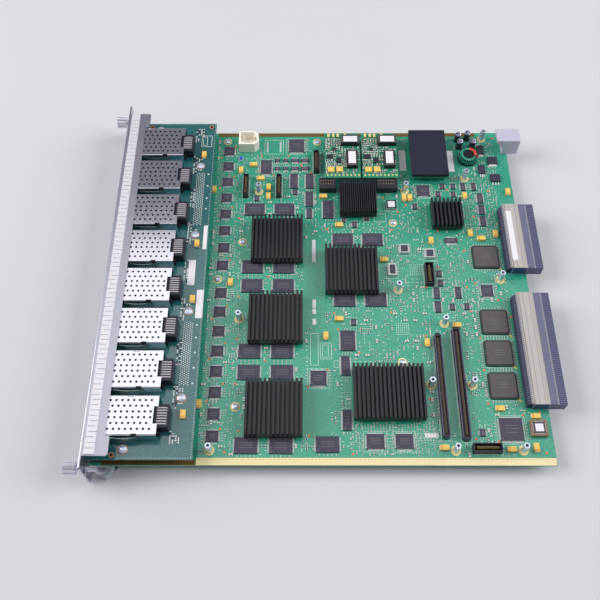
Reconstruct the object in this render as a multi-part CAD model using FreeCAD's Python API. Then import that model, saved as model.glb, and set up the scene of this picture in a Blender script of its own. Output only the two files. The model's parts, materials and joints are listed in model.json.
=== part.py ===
"""Sixteen-port switch line card: a main board with a raised port board, a sheet faceplate,
module cages, heat sinks, power modules and the connectors that meet a chassis backplane.

Card frame while modelling: X runs from the faceplate (x = 0 on its front face) to the
backplane, Y runs across the card from the near edge of the main board, and z = 0 is the
component side of the main board. Every shape is moved on export so that the origin is the
bottom centre of the card's bounding box.
"""
import FreeCAD, Part
import os
from math import cos, pi, sin

os.makedirs("parts", exist_ok=True)
V = FreeCAD.Vector

# ---------------------------------------------------------------- driving dimensions, mm
board_width = 358.3            # main board and port board, along Y
board_rear = 387.5             # rear edge of the main board
board_thickness = 2.4
port_board_depth = 86.5        # port board, along X
port_board_thickness = 1.6
stack_height = 13.0            # clear height between the two boards

plate_thickness = 2.0          # faceplate sheet
card_height = 40.6             # one chassis slot
below_board = 12.6             # from the main board's top down to the bottom of the faceplate
flange_thickness = 1.5
top_flange_depth = 18.9
bottom_flange_depth = 12.0
flange_overhang = 1.1          # the flanges run past the board at each end
end_tab_length = 12.0          # the faceplate runs past the board to carry the thumbscrews
end_tab_top_chamfer = 0.8
end_tab_bottom_chamfer = 3.0
corner_tab_length = 16.6       # wider stretch of the flanges at each end
corner_tab_depth = 22.8
corner_tab_chamfer = 1.5

port_pitch = 41.5              # each row has as many ports as fit between the margins
first_cage_edge = 16.2
last_cage_margin = 16.0
cage_width = 35.1
cage_height = 11.8
cage_depth = 57.3
cage_wall = 0.5
cage_roof_step = 3.4           # the roof is cut back over the connector
cage_roof_step_width = 15.0
cage_floor_step = 6.0          # the floor stops short in front of the connector's body
cage_notch_front = 36.5        # notch along the near top edge
cage_notch_size = (5.0, 2.4, 1.2)
opening_width = 31.6           # port opening in the faceplate
opening_height = 10.0
opening_lift = 0.75            # above the board that carries the row

door_thickness = 0.5
door_gap = 0.3                 # behind the faceplate
door_floor_gap = 0.2           # above the cage floor
door_overlap = 0.6             # behind the edge of the opening, on each side
hinge_tab = 0.5                # square pivot tab stamped at each end of the door's top edge
hinge_hole = 0.8               # square pivot hole in the cage's side walls
hinge_drop = 0.5               # from the cage roof's underside to the pivot's axis

port_connector_size = (11.5, 20.5, 9.6)
port_connector_nose_size = (3.5, 18.0, 4.6)
port_connector_nose_lift = 3.0
port_connector_gap = 0.3       # behind the cut-back roof

led_window = 2.4
led_depth = 5.0
led_stand_out = 0.3

gasket_front = 3.7
gasket_width = 8.3
gasket_rise = 1.0
gasket_end_gap = 1.0
gasket_pitch = 4.6
gasket_slit = 0.5
gasket_bridge = 1.6

screw_knob_radius = 5.6
screw_knob_length = 9.6
screw_flute_count = 14
screw_flute_depth = 0.5
screw_slot_width = 1.2
screw_slot_depth = 1.6
screw_neck_length = 6.0
screw_shank_radius = 2.4
screw_hole_radius = 2.5
screw_shank_length = 3.0       # behind the faceplate
screw_thread_radius = 2.0
screw_thread_length = 6.0
screw_outboard = 6.3           # past the board's edge
screw_height = 9.5             # above the main board
ring_radius = 5.5
ring_thickness = 1.0
ring_gap = 0.3                 # between the faceplate and the retaining ring
ring_clearance = 0.05          # round the shank

lever_pivot_back = 6.5         # behind the faceplate's front face
lever_pivot_inboard = 5.0      # inside the board's edge
lever_pin_radius = 2.0
lever_pin_clearance = 0.08
lever_boss_radius = 4.2
lever_play = 0.3               # above and below the lever
lever_handle_length = 68.0     # along the faceplate, from the pivot
lever_handle_thickness = 4.5
lever_handle_gap = 1.2         # in front of the faceplate
lever_handle_start = 3.0       # from the pivot to the handle's root
lever_root_bevel = (2.0, 5.0)
lever_finger_rise = 3.6        # finger stop at the end of the handle
lever_finger_width = 3.0
lever_finger_slope = 9.0
lever_neck_width = 4.5
lever_slot_inner = 8.5         # slot in the faceplate, to each side of the pivot
lever_slot_outer = 7.5
lever_slot_play = 0.2          # above and below the lever
claw_reach_back = 14.0         # back of the claw, from the pivot
claw_throat_back = 8.2         # front of the claw, from the pivot
claw_tip_out = 8.8             # past the board's edge
claw_tip_width = 0.6
claw_curve = (12.6, 5.2)       # a point of the curved back: from the pivot, past the board's edge

bracket_wall = 1.2             # angle brackets between the main board and the faceplate
bracket_length = 8.0
bracket_foot = 11.0
bracket_height = 9.0
bracket_inset = 2.0

chip_height = 1.4
quad_flat_height = 1.8
bga_height = 2.2
sink_height = 12.0
sink_base = 2.6
sink_chip_height = 2.4
sink_chip_size = 31.0
sink_chip_margin = 4.5
fins = (3.8, 2.0)               # pitch and thickness
module_sink_fins = (2.1, 1.0)

tantalum_size = (7.3, 4.3, 2.8)
post_across_flats = 5.0
post_height = 13.0

socket_height = 5.2            # daughter card sockets
socket_wall = 1.6
socket_floor = 1.5
socket_end_wall = 3.0
socket_end_chamfer = 2.0
header_height = 6.5
header_wall = 0.9
header_floor = 2.0

backplane_housing_height = 11.5
backplane_housing_front = 14.6     # in front of the board's rear edge
backplane_housing_rear = 0.6
backplane_housing_bevel = 1.2
backplane_rib = (2.6, 0.8)         # lower ledge along the back of the housing
backplane_socket_overhang = 13.5   # behind the board's rear edge
backplane_socket_height = 10.6
backplane_mouth_depth = 5.0
backplane_mouth_height = 1.6
backplane_mouth_inset = 2.0
backplane_mouth_pitch = 3.0
backplane_mouth_lift = 1.6
backplane_contact_depth = 4.5
backplane_contact_inset = 1.5
backplane_contact_drop = 2.0       # from the top of the housing
backplane_contact_slope = (3.3, 4.0)

guide_overhang = 11.0              # behind the board's rear edge
guide_front = 13.0                 # in front of the board's rear edge
guide_foot_front = 5.5
guide_height = 19.6
guide_lip = 3.1
guide_slope = 7.5
guide_mouth_chamfer = 1.2
guide_bore_radius = 2.6            # takes the chassis guide pin
guide_bore_depth = 14.0
guide_bore_height = 11.0

module_lift = 7.6              # power module boards, above the main board
module_board_size = (36.0, 57.6, 1.6)
brick_size = (36.8, 57.9)
brick_height = 12.7
brick_board_lift = 6.4
brick_board_thickness = 1.6
brick_plate_thickness = 3.2
brick_core_margin = (5.0, 9.0)
brick_pin_inset = 4.0
terminal_width = 1.6           # square pins of the brick and the power header

# ---------------------------------------------------------------- derived places
faceplate_top = card_height - below_board
faceplate_bottom = -below_board
port_board_bottom = stack_height
port_board_top = stack_height + port_board_thickness
board_front = plate_thickness
board_bottom = -board_thickness
board_middle = board_width / 2
flange_ends = (-flange_overhang, board_width + flange_overhang)
plate_ends = (-end_tab_length, board_width + end_tab_length)
row_floors = {"lower": 0.0, "upper": port_board_top}
port_room = board_width - first_cage_edge - last_cage_margin - cage_width
port_count = int(port_room / port_pitch) + 1
cage_edges = [first_cage_edge + port_pitch * i for i in range(port_count)]
cage_back = plate_thickness + cage_depth
hinge_z = cage_height - cage_wall - hinge_drop
hinge_x = plate_thickness + door_gap + door_thickness / 2
knob_front = -(screw_neck_length + screw_knob_length)
screw_places = (-screw_outboard, board_width + screw_outboard)
lever_top = board_bottom - lever_play
lever_bottom = faceplate_bottom + flange_thickness + lever_play
lever_pivot = (lever_pivot_back, lever_pivot_inboard)

# ---------------------------------------------------------------- board layout
# Places are in thousandths of the free board: from the port board to the rear edge, and from the
# near edge to the far one. Sizes are (x size, y size) in millimetres, but those of the pieces that
# fill the room between their neighbours are in thousandths too.
def along_x(share):
    """Distance along X on the main board, behind the port board."""
    return share * (board_rear - board_front - port_board_depth) / 1000


def along_y(share):
    """Distance along Y on the boards."""
    return share * board_width / 1000


def on_board(place):
    """Place on the main board."""
    return board_front + port_board_depth + along_x(place[0]), along_y(place[1])


def laid_out(table):
    """Places with their sizes."""
    return [(on_board(place), size) for place, size in table]


def filling(table):
    """Pieces that fill the room between their neighbours: their outlines are shares of the board too."""
    return [(on_board(place), (along_x(w), along_y(d))) for place, (w, d) in table]


phy_size = 10.2
phy_column = 44.5
phy_rows = (68.4, 541.4)      # starts of the two rows of eight
phy_pitch = 55.54
phy_places = [on_board((phy_column, start + phy_pitch * i)) for start in phy_rows for i in range(8)]

memory_size = (19.4, 14.0)
memory_layout = [(x, y) for x in (139.8, 237.5)
                 for y in (46.3, 232.2, 289.7, 478.6, 536.7, 722.9)]
memory_layout += [(367.9, 49.1), (427.1, 436.8), (523.4, 436.8), (427.1, 622.4), (522.7, 622.4)]
memory_places = [on_board(p) for p in memory_layout]

bga_size = 24.8
bga_chamfer = 1.6
bga_places = [on_board(p) for p in ((878.6, 196.8), (878.6, 283.6), (878.6, 371.2), (878.6, 566.0))]

sink_size = (163.2, 140.9)
sink_layout = [(p, sink_size) for p in ((216.4, 614.8), (216.4, 376.8), (216.4, 134.0), (449.8, 519.1))]
sink_layout += [((545.2, 174.4), (204.0, 138.2)), ((765.9, 696.3), (98.7, 86.5))]

quad_flat_chips = laid_out([((276.6, 949.5), (15.6, 16.4)), ((344.1, 216.6), (13.8, 13.8)),
                            ((501.7, 56.4), (14.6, 12.8)), ((582.9, 56.4), (14.6, 12.8)),
                            ((885.3, 86.2), (19.4, 20.0)), ((700.0, 787.0), (12.6, 12.8)),
                            ((869.2, 462.7), (10.6, 12.0)), ((173.2, 871.3), (11.0, 17.4))])

tall_logic_size, logic_size, short_logic_size = (7.5, 18.4), (5.4, 11.8), (4.4, 6.4)
tall_logic = [(268.2, 821.9), (320.7, 821.9), (319.4, 758.3), (424.1, 250.3), (424.4, 108.8)]
logic = [(887.3, 761.1), (887.3, 722.3), (887.0, 683.2), (713.0, 456.9), (713.0, 416.1),
         (779.3, 457.7), (319.4, 710.0)]
short_logic = [(756.5, 415.3), (801.0, 416.7), (728.1, 486.5), (726.4, 515.2), (452.5, 370.9),
               (466.6, 671.2), (506.7, 694.9), (668.2, 732.6), (765.9, 802.7), (801.7, 801.6),
               (749.2, 775.0), (800.0, 775.0), (144.8, 761.4), (803.7, 78.1), (272.6, 783.4)]
odd_logic = [((381.3, 722.9), (10.0, 21.4)), ((433.1, 319.0), (13.0, 19.8)),
             ((774.9, 619.6), (12.0, 5.4)), ((835.1, 800.4), (4.4, 9.5)),
             ((870.6, 800.4), (4.4, 9.5)), ((431.8, 686.6), (3.5, 5.0))]
buffer_size, wide_buffer_size = (5.0, 3.9), (8.0, 3.9)
buffers = [(x, y) for y in (866.6, 895.9) for x in (210.7, 239.1)]
wide_buffers = [(x, y) for y in (866.6, 895.9) for x in (271.2, 304.7)]
logic_places = laid_out([(p, size) for group, size in (
    (tall_logic, tall_logic_size), (logic, logic_size), (short_logic, short_logic_size),
    (buffers, buffer_size), (wide_buffers, wide_buffer_size)) for p in group] + odd_logic)

oscillator_height = 3.0
oscillators = laid_out([((590.3, 736.8), (9.2, 9.4)), ((580.3, 525.8), (7.6, 12.4)),
                        ((622.1, 591.1), (9.0, 9.4)), ((702.3, 576.1), (9.0, 9.6))])

tantalums_along_x = [(692.3, 41.0), (408.7, 380.4), (555.9, 558.2), (416.4, 669.8), (128.8, 880.0),
                     (154.8, 830.3), (366.2, 766.7), (764.2, 362.3), (872.9, 625.2), (861.2, 138.4),
                     (958.9, 118.9), (879.6, 37.4)]
tantalums_along_y = [(71.9, 488.4), (367.6, 331.6), (0.3, 149.3), (0.3, 791.2), (87.6, 859.6),
                     (183.3, 798.2), (183.3, 767.5), (634.8, 760.5), (653.8, 761.1), (710.7, 618.2),
                     (669.9, 312.6), (839.5, 641.9), (836.8, 767.5), (982.6, 781.5), (948.2, 41.3)]
port_board_tantalum_x = 78.2
port_board_tantalums = [(port_board_tantalum_x, along_y(y)) for y in (106.9, 414.2, 582.2, 881.1)]

electrolytic_radius, electrolytic_height = 3.2, 10.5
electrolytics = [on_board(p) for p in ((835.5, 971.8), (838.5, 945.6), (867.9, 976.8), (882.9, 946.1))]
toroid_place, toroid_outer, toroid_inner, toroid_height = on_board((862.9, 902.9)), 10.2, 4.2, 8.5

post_layout = [(38.5, 34.9), (104.3, 381.0), (594.3, 467.5), (726.8, 368.4), (670.6, 199.6),
               (791.0, 199.6), (724.1, 34.9), (911.4, 35.7), (915.4, 497.6), (844.5, 831.7),
               (151.5, 785.7), (919.7, 975.4)]
port_post_x, port_post_beside_cage = 75.6, 2.1
end_post_x, end_post_margin = 31.3, 8.4
port_post_rows = [edge + cage_width + port_post_beside_cage for edge in cage_edges[::2]]
port_board_posts = [(port_post_x, y) for y in port_post_rows]
port_board_posts += [(end_post_x, end_post_margin), (end_post_x, board_width - end_post_margin)]
stacking_size = (7.0, 60.0)
stacking_connectors = [(port_post_x, (port_post_rows[i] + port_post_rows[i + 1]) / 2) for i in (0, 2)]

# Daughter sockets: place along X, near end, far end, and the width in millimetres.
socket_layout = [(700.7, 61.4, 334.9, 6.4), (756.9, 56.9, 352.8, 7.4)]
sockets = [(*on_board((x, (y0 + y1) / 2)), w, along_y(y1 - y0)) for x, y0, y1, w in socket_layout]
headers = filling([((107.0, 799.6), (17.4, 72.6)), ((217.7, 799.3), (17.4, 72.6)),
                   ((344.1, 885.8), (18.7, 72.6)), ((694.0, 509.6), (27.4, 64.2)),
                   ((810.4, 38.0), (80.3, 21.2))])
contacts_tantalum_from_rear = 23.8
contacts_tantalum = (board_rear - contacts_tantalum_from_rear, along_y(640.0))
backplane_spans = [(along_y(y0), along_y(y1)) for y0, y1 in ((137.6, 441.8), (515.2, 719.5))]
guide_width, guide_far_gap = 16.3, 12.0
guide_span = (board_width - guide_far_gap - guide_width, board_width - guide_far_gap)

power_header_place, power_header_size = on_board((112.0, 953.1)), (20.0, 17.5, 12.5)
power_header_wall, power_header_floor, power_header_chamfer, power_header_pin_drop = 1.6, 3.0, 4.0, 3.0
plcc_place, plcc_size, plcc_height, plcc_wall, plcc_floor = on_board((961.5, 87.6)), 14.0, 4.2, 2.0, 1.6
module_pitch, module_shift = 37.6, 11.6        # the pair stands to the rear of its place
module_middle, module_y = on_board((456.5, 895.3))
module_places = [(module_middle + module_shift + i * module_pitch / 2, module_y) for i in (-1, 1)]
module_header_y = along_y(799.9)
module_header_offsets, module_header_sizes = (-15.3, 6.1), ((17.0, 13.0), (20.0, 13.0))
module_headers = [((x + dx, module_header_y), size) for (x, _), dx, size in
                  zip(module_places, module_header_offsets, module_header_sizes)]
header_edges = [x + side * w / 2 for side, ((x, _), (w, _)) in zip((1, -1), module_headers)]
module_sink_shift, module_sink_width, module_sink_depth = 0.45, 36.0, along_y(110.2)
module_sink_place = (sum(header_edges) / 2 + module_sink_shift, along_y(749.7))
heat_sinks = filling(sink_layout) + [(module_sink_place, (module_sink_width, module_sink_depth))]
module_coils = [((8.0, 17.5), (19.0, 11.0)), ((9.5, -7.0), (11.0, 20.5))]
module_coil_height = 5.0
brick_place = on_board((723.4, 899.2))

# One post stands between the second module's header and the chip behind it.
header_edge = module_headers[1][0][0] + module_header_sizes[1][0] / 2
(chip_x, _), (chip_width, _) = quad_flat_chips[5]
post_share = 0.4
header_post = (header_edge + (chip_x - chip_width / 2 - header_edge) * post_share, along_y(787.9))
posts = [on_board(p) for p in post_layout] + [header_post]
transistor_height = 2.3
transistors = laid_out([((946.5, 893.1), (9.6, 8.8)), ((947.5, 830.3), (9.6, 9.0)),
                        ((906.4, 861.0), (6.0, 10.5)), ((909.7, 932.2), (6.0, 11.0))])


# ---------------------------------------------------------------- helpers
def box(x0, x1, y0, y1, z0, z1):
    """Block between two corners."""
    return Part.makeBox(x1 - x0, y1 - y0, z1 - z0, V(x0, y0, z0))


def block(place, size, z, height):
    """Block standing on height z, centred on an (x, y) place."""
    (x, y), (w, d) = place, size
    return box(x - w / 2, x + w / 2, y - d / 2, y + d / 2, z, z + height)


def rod(place, radius, z0, z1):
    """Upright cylinder."""
    return Part.makeCylinder(radius, z1 - z0, V(place[0], place[1], z0))


def rod_x(y, z, radius, x0, x1):
    """Cylinder along X."""
    return Part.makeCylinder(radius, x1 - x0, V(x0, y, z), V(1, 0, 0))


def prism(points, direction):
    """Closed polygon pushed along a direction."""
    outline = Part.makePolygon([V(*p) for p in points] + [V(*points[0])])
    return Part.Face(outline).extrude(V(*direction))


def cut(shape, tools):
    """Shape less all the tools."""
    return shape.cut(list(tools)).removeSplitter()


def join(shape, others):
    """One solid from touching or overlapping solids."""
    return shape.fuse(list(others)).removeSplitter()


def tray(place, size, height, wall, floor):
    """Open-topped box that stands on the main board."""
    hollow = block(place, (size[0] - 2 * wall, size[1] - 2 * wall), floor, height)
    return cut(block(place, size, 0, height), [hollow])


def mirrored(shape):
    """The same shape at the other end of the card."""
    return shape.mirror(V(0, board_middle, 0), V(0, 1, 0))


# ---------------------------------------------------------------- boards
def main_board():
    """Main board."""
    return box(board_front, board_rear, 0, board_width, board_bottom, 0)


def port_board():
    """Raised board that carries the upper row of ports."""
    return box(board_front, board_front + port_board_depth, 0, board_width, port_board_bottom, port_board_top)


def hex_post(place, height):
    """Hexagonal post that stands on the main board."""
    corner = post_across_flats / 2 / cos(pi / 6)
    (x, y), turns = place, [i * pi / 3 for i in range(6)]
    return prism([(x + corner * cos(a), y + corner * sin(a), 0) for a in turns], (0, 0, height))


def standoffs():
    """Posts for the daughter card, and the posts that hold up the port board."""
    return [hex_post(p, post_height) for p in posts] + [hex_post(p, stack_height) for p in port_board_posts]


# ---------------------------------------------------------------- faceplate
def brackets():
    """Angle brackets that join the main board to the back of the faceplate."""
    x, y = board_front, bracket_inset
    leg = box(x, x + bracket_wall, y, y + bracket_length, 0, bracket_height)
    foot = box(x, x + bracket_foot, y, y + bracket_length, 0, bracket_wall)
    near = join(leg, [foot])
    return [near, mirrored(near)]


def flange(z, depth):
    """Folded edge of the faceplate with its wider stretches at both ends."""
    (start, end), top = flange_ends, z + flange_thickness
    strip = box(0, depth, start, end, z, top)
    tab = box(0, corner_tab_depth, start, start + corner_tab_length, z, top)
    corners = [e for e in tab.Edges if is_upright(e) and e.BoundBox.XMin > top_flange_depth]
    tab = tab.makeChamfer(corner_tab_chamfer, corners)
    return join(strip, [tab, mirrored(tab)])


def is_upright(edge):
    """True for a straight edge along Z."""
    return edge.BoundBox.ZLength > 0.5 and edge.BoundBox.XLength < 0.01 and edge.BoundBox.YLength < 0.01


def faceplate():
    """Folded sheet: a front plate with end tabs, a top flange and a bottom flange."""
    (y0, y1), (z0, z1) = plate_ends, (faceplate_bottom, faceplate_top)
    low, high = end_tab_bottom_chamfer, end_tab_top_chamfer
    outline = [(0, y0, z0 + low), (0, y0 + low, z0), (0, y1 - low, z0), (0, y1, z0 + low),
               (0, y1, z1 - high), (0, y1 - high, z1), (0, y0 + high, z1), (0, y0, z1 - high)]
    plate = prism(outline, (plate_thickness, 0, 0))
    shell = join(plate, [flange(z1 - flange_thickness, top_flange_depth), flange(z0, bottom_flange_depth)])
    bend = [e for e in shell.Edges if e.BoundBox.YLength > board_width and e.BoundBox.XMax < 0.01]
    shell = shell.makeFillet(plate_thickness / 2, bend)
    holes = [opening(edge, floor) for edge in cage_edges for floor in row_floors.values()]
    holes += [rod_x(y, screw_height, screw_hole_radius, 0, plate_thickness) for y in screw_places]
    slot = box(0, plate_thickness, lever_pivot_inboard - lever_slot_outer, lever_pivot_inboard + lever_slot_inner,
               lever_bottom - lever_slot_play, lever_top + lever_slot_play)
    holes += [slot, mirrored(slot)]
    holes += [led_window_box(y, z, 0, plate_thickness) for y, z in led_places()]
    return cut(shell, holes)


def opening(edge, floor):
    """Port opening in the faceplate, for the cage that starts at edge on a board at floor."""
    y = edge + cage_width / 2
    z = floor + opening_lift
    return box(0, plate_thickness, y - opening_width / 2, y + opening_width / 2, z, z + opening_height)


def emi_gasket():
    """Spring strip along the top flange, slit from both sides in turn into a zigzag."""
    z, x0, x1 = faceplate_top, gasket_front, gasket_front + gasket_width
    start, end = flange_ends[0] + gasket_end_gap, flange_ends[1] - gasket_end_gap
    strip = box(x0, x1, start, end, z, z + gasket_rise)
    slits = []
    for i in range(1, int((end - start) / gasket_pitch)):
        y = start + i * gasket_pitch
        a, b = (x0, x1 - gasket_bridge) if i % 2 else (x0 + gasket_bridge, x1)
        slits.append(box(a, b, y, y + gasket_slit, z, z + gasket_rise))
    return strip.cut(Part.makeCompound(slits))


# ---------------------------------------------------------------- ports
def cage(edge, floor):
    """Sheet cage with open ends, a stepped roof at the back and pivot holes for its door."""
    y0, y1 = edge, edge + cage_width
    x0, x1 = plate_thickness, cage_back
    z0, z1 = floor, floor + cage_height
    shell = box(x0, x1, y0, y1, z0, z1)
    inside = box(x0, x1, y0 + cage_wall, y1 - cage_wall, z0 + cage_wall, z1 - cage_wall)
    middle = (y0 + y1) / 2
    half = cage_roof_step_width / 2
    step = box(x1 - cage_roof_step, x1, middle - half, middle + half, z1 - cage_wall, z1)
    floor_cut = box(x1 - cage_floor_step, x1, y0 + cage_wall, y1 - cage_wall, z0, z0 + cage_wall)
    length, width, drop = cage_notch_size
    notch = box(cage_notch_front, cage_notch_front + length, y0, y0 + width, z1 - drop, z1)
    pivot = box(hinge_x - hinge_hole / 2, hinge_x + hinge_hole / 2, y0, y1,
                floor + hinge_z - hinge_hole / 2, floor + hinge_z + hinge_hole / 2)
    return cut(shell, [inside, step, floor_cut, notch, pivot])


def port_connector(edge, floor):
    """Socket at the back of a cage: a body on the board with a nose that enters the cage."""
    y = edge + cage_width / 2
    x = cage_back - cage_roof_step + port_connector_gap
    depth, width, height = port_connector_size
    nose_depth, nose_width, nose_height = port_connector_nose_size
    body = block((x + depth / 2, y), (depth, width), floor, height)
    nose_floor = floor + port_connector_nose_lift
    return join(body, [block((x - nose_depth / 2, y), (nose_depth, nose_width), nose_floor, nose_height)])


def port_door(edge, floor):
    """Spring-loaded flap that hangs inside the cage behind its opening, on its two pivot tabs."""
    y = edge + cage_width / 2
    half = opening_width / 2 + door_overlap
    x = plate_thickness + door_gap
    z = floor + cage_wall + door_floor_gap
    top = floor + hinge_z + hinge_tab / 2
    leaf = box(x, x + door_thickness, y - half, y + half, z, top)
    tabs = box(x, x + door_thickness, edge, edge + cage_width, top - hinge_tab, top)
    return join(leaf, [tabs])


def led_places():
    """Indicator places (y, z): one beside each port, in the gap before its cage."""
    gap = port_pitch - cage_width
    return [(edge - gap / 2, floor) for edge in cage_edges for floor in row_floors.values()]


def led_window_box(y, z, front, back):
    """Light pipe of one indicator, on the board at z."""
    half = led_window / 2
    return box(front, back, y - half, y + half, z, z + led_window)


def leds():
    """Light pipes that lie on the boards and look out through the faceplate."""
    return [led_window_box(y, z, -led_stand_out, plate_thickness + led_depth) for y, z in led_places()]


# ---------------------------------------------------------------- moving hardware
def captive_screw(y):
    """Thumbscrew: a fluted knob with a driver slot, on a shank that passes through the plate."""
    z, outline = screw_height, []
    for i in range(2 * screw_flute_count):
        radius = screw_knob_radius - screw_flute_depth * (i % 2)
        angle = pi * i / screw_flute_count
        outline.append((knob_front, y + radius * cos(angle), z + radius * sin(angle)))
    knob = prism(outline, (screw_knob_length, 0, 0))
    half, reach = screw_slot_width / 2, screw_knob_radius
    slot = box(knob_front, knob_front + screw_slot_depth, y - reach, y + reach, z - half, z + half)
    shank_end = plate_thickness + screw_shank_length
    shank = rod_x(y, z, screw_shank_radius, -screw_neck_length, shank_end)
    thread = rod_x(y, z, screw_thread_radius, shank_end, shank_end + screw_thread_length)
    return join(cut(knob, [slot]), [shank, thread])


def retaining_ring(y):
    """Ring behind the plate that keeps the thumbscrew captive and slides with it."""
    front = plate_thickness + ring_gap
    back = front + ring_thickness
    ring = rod_x(y, screw_height, ring_radius, front, back)
    return cut(ring, [rod_x(y, screw_height, screw_shank_radius + ring_clearance, front, back)])


def ejector_lever():
    """Near ejector lever: handle in front of the plate, boss on its pin, claw past the card's edge."""
    (px, py), z, height = lever_pivot, lever_bottom, lever_top - lever_bottom
    back = -lever_handle_gap
    front, tip, root = back - lever_handle_thickness, py + lever_handle_length, py + lever_handle_start
    finger, stop = front - lever_finger_rise, tip - lever_finger_width
    bevel_in, bevel_along = lever_root_bevel
    handle = [(back, root), (back, tip), (finger, tip), (finger, stop), (front, stop - lever_finger_slope),
              (front, root + bevel_along), (back - bevel_in, root)]
    neck = [(px, py - lever_boss_radius), (px, py + lever_boss_radius), (back, root + lever_neck_width),
            (back - bevel_in, root + lever_neck_width), (back - bevel_in, root), (back, root)]
    arms = [prism([(x, y, z) for x, y in outline], (0, 0, height)) for outline in (handle, neck)]
    boss = rod(lever_pivot, lever_boss_radius, z, z + height)
    arms.append(claw(z, height))
    return cut(join(boss, arms), [rod(lever_pivot, lever_pin_radius + lever_pin_clearance, z, z + height)])


def claw(z, height):
    """Arm behind the pivot that ends in a hook past the card's edge, with a curved back."""
    (px, py), radius = lever_pivot, lever_boss_radius
    front, back, (curve_x, curve_out) = px + claw_throat_back, px + claw_reach_back, claw_curve
    tip = V(front + claw_tip_width, -claw_tip_out, z)
    points = [V(back, 0, z), V(back, py, z), V(px, py + radius, z), V(px, py - radius, z),
              V(front, py - radius, z), V(front, -claw_tip_out, z), tip]
    curve = Part.Arc(tip, V(px + curve_x, -curve_out, z), points[0]).toShape()
    return Part.Face(Part.Wire(Part.makePolygon(points).Edges + [curve])).extrude(V(0, 0, height))


def lever_pins():
    """Pivot pins between the bottom flange and the main board."""
    near = rod(lever_pivot, lever_pin_radius, faceplate_bottom + flange_thickness, board_bottom)
    return [near, mirrored(near)]


# ---------------------------------------------------------------- chips and heat sinks
def bga(place):
    """Moulded array package with clipped corners."""
    body = block(place, (bga_size, bga_size), 0, bga_height)
    return body.makeChamfer(bga_chamfer, [e for e in body.Edges if is_upright(e)])


def heat_sink(place, size, fin_pitch, fin_thickness):
    """Extruded sink: a base on its chip, with straight fins along Y."""
    (x, y), (width, depth) = place, size
    body = block(place, size, sink_chip_height, sink_height - sink_chip_height)
    count = round((width - fin_thickness) / fin_pitch)
    pitch, gap = (width - fin_thickness) / count, (width - fin_thickness) / count - fin_thickness
    first = x - width / 2 + fin_thickness + gap / 2
    floor = sink_chip_height + sink_base
    return cut(body, [block((first + i * pitch, y), (gap, depth), floor, sink_height) for i in range(count)])


def heat_sink_chip(place, size):
    """Package under a sink, inside the sink's outline."""
    side = min(sink_chip_size, min(size) - 2 * sink_chip_margin)
    return block(place, (side, side), 0, sink_chip_height)


def tantalums():
    """Moulded capacitors on both boards."""
    length, width, height = tantalum_size
    solids = [block(on_board(p), (length, width), 0, height) for p in tantalums_along_x]
    solids += [block(on_board(p), (width, length), 0, height) for p in tantalums_along_y]
    solids += [block(contacts_tantalum, (width, length), 0, height)]
    solids += [block(p, (width, length), port_board_top, height) for p in port_board_tantalums]
    return solids


def electrolytic(place):
    """Can capacitor."""
    return rod(place, electrolytic_radius, 0, electrolytic_height)


def toroid():
    """Wound ring choke lying on the board."""
    core = rod(toroid_place, toroid_outer, 0, toroid_height)
    return cut(core, [rod(toroid_place, toroid_inner, 0, toroid_height)])


# ---------------------------------------------------------------- power parts
def power_module_boards():
    """Raised boards of the two power modules."""
    w, d, t = module_board_size
    return [block(p, (w, d), module_lift, t) for p in module_places]


def power_module_coils():
    """Two flat coils on each power module."""
    z = module_lift + module_board_size[2]
    return [block((px + dx, py + dy), size, z, module_coil_height)
            for px, py in module_places for (dx, dy), size in module_coils]


def board_connectors():
    """Headers between boards: under the power modules and under the port board."""
    solids = [block(p, size, 0, module_lift) for p, size in module_headers]
    return solids + [block(p, stacking_size, 0, stack_height) for p in stacking_connectors]


def converter_board():
    """Board and core of the converter brick, on four terminal pins."""
    (x, y), (w, d), z = brick_place, brick_size, brick_board_lift
    board = block(brick_place, brick_size, z, brick_board_thickness)
    dx, dy = w / 2 - brick_pin_inset, d / 2 - brick_pin_inset
    pin = (terminal_width, terminal_width)
    pins = [block((x + i * dx, y + j * dy), pin, 0, z) for i in (-1, 1) for j in (-1, 1)]
    core_size = (w - 2 * brick_core_margin[0], d - 2 * brick_core_margin[1])
    core_floor = z + brick_board_thickness
    core = block(brick_place, core_size, core_floor, brick_height - brick_plate_thickness - core_floor)
    return join(board, pins + [core])


def converter_plate():
    """Metal baseplate on top of the converter brick."""
    return block(brick_place, brick_size, brick_height - brick_plate_thickness, brick_plate_thickness)


def clipped_outline(inset, z):
    """Outline of the power header with its two clipped corners, pulled in by inset, at height z."""
    (x, y), (w, d, _) = power_header_place, power_header_size
    c, dx, dy = power_header_chamfer, w / 2 - inset, d / 2 - inset
    return [(x - dx, y - dy, z), (x + dx - c, y - dy, z), (x + dx, y - dy + c, z),
            (x + dx, y + dy - c, z), (x + dx - c, y + dy, z), (x - dx, y + dy, z)]


def power_header():
    """White nylon power header: an open shroud round four pins."""
    (x, y), (w, d, h), z = power_header_place, power_header_size, power_header_floor
    hollow = prism(clipped_outline(power_header_wall, z), (0, 0, h))
    shroud = cut(prism(clipped_outline(0, 0), (0, 0, h)), [hollow])
    pin, pin_height = (terminal_width, terminal_width), h - power_header_pin_drop - z
    pins = [block((x + i * w / 4, y + j * d / 4), pin, z, pin_height) for i in (-1, 1) for j in (-1, 1)]
    return join(shroud, pins)


# ---------------------------------------------------------------- connectors
def daughter_socket(x, y, w, length):
    """Long board-to-board socket with a slot along its top."""
    hollow = block((x, y), (w - 2 * socket_wall, length - 2 * socket_end_wall), socket_floor, socket_height)
    body = block((x, y), (w, length), 0, socket_height)
    ends = [e for e in body.Edges if is_upright(e)]
    return cut(body.makeChamfer(socket_end_chamfer, ends), [hollow])


def test_header(place, size):
    """Open shroud of a pin header."""
    return tray(place, size, header_height, header_wall, header_floor)


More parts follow.
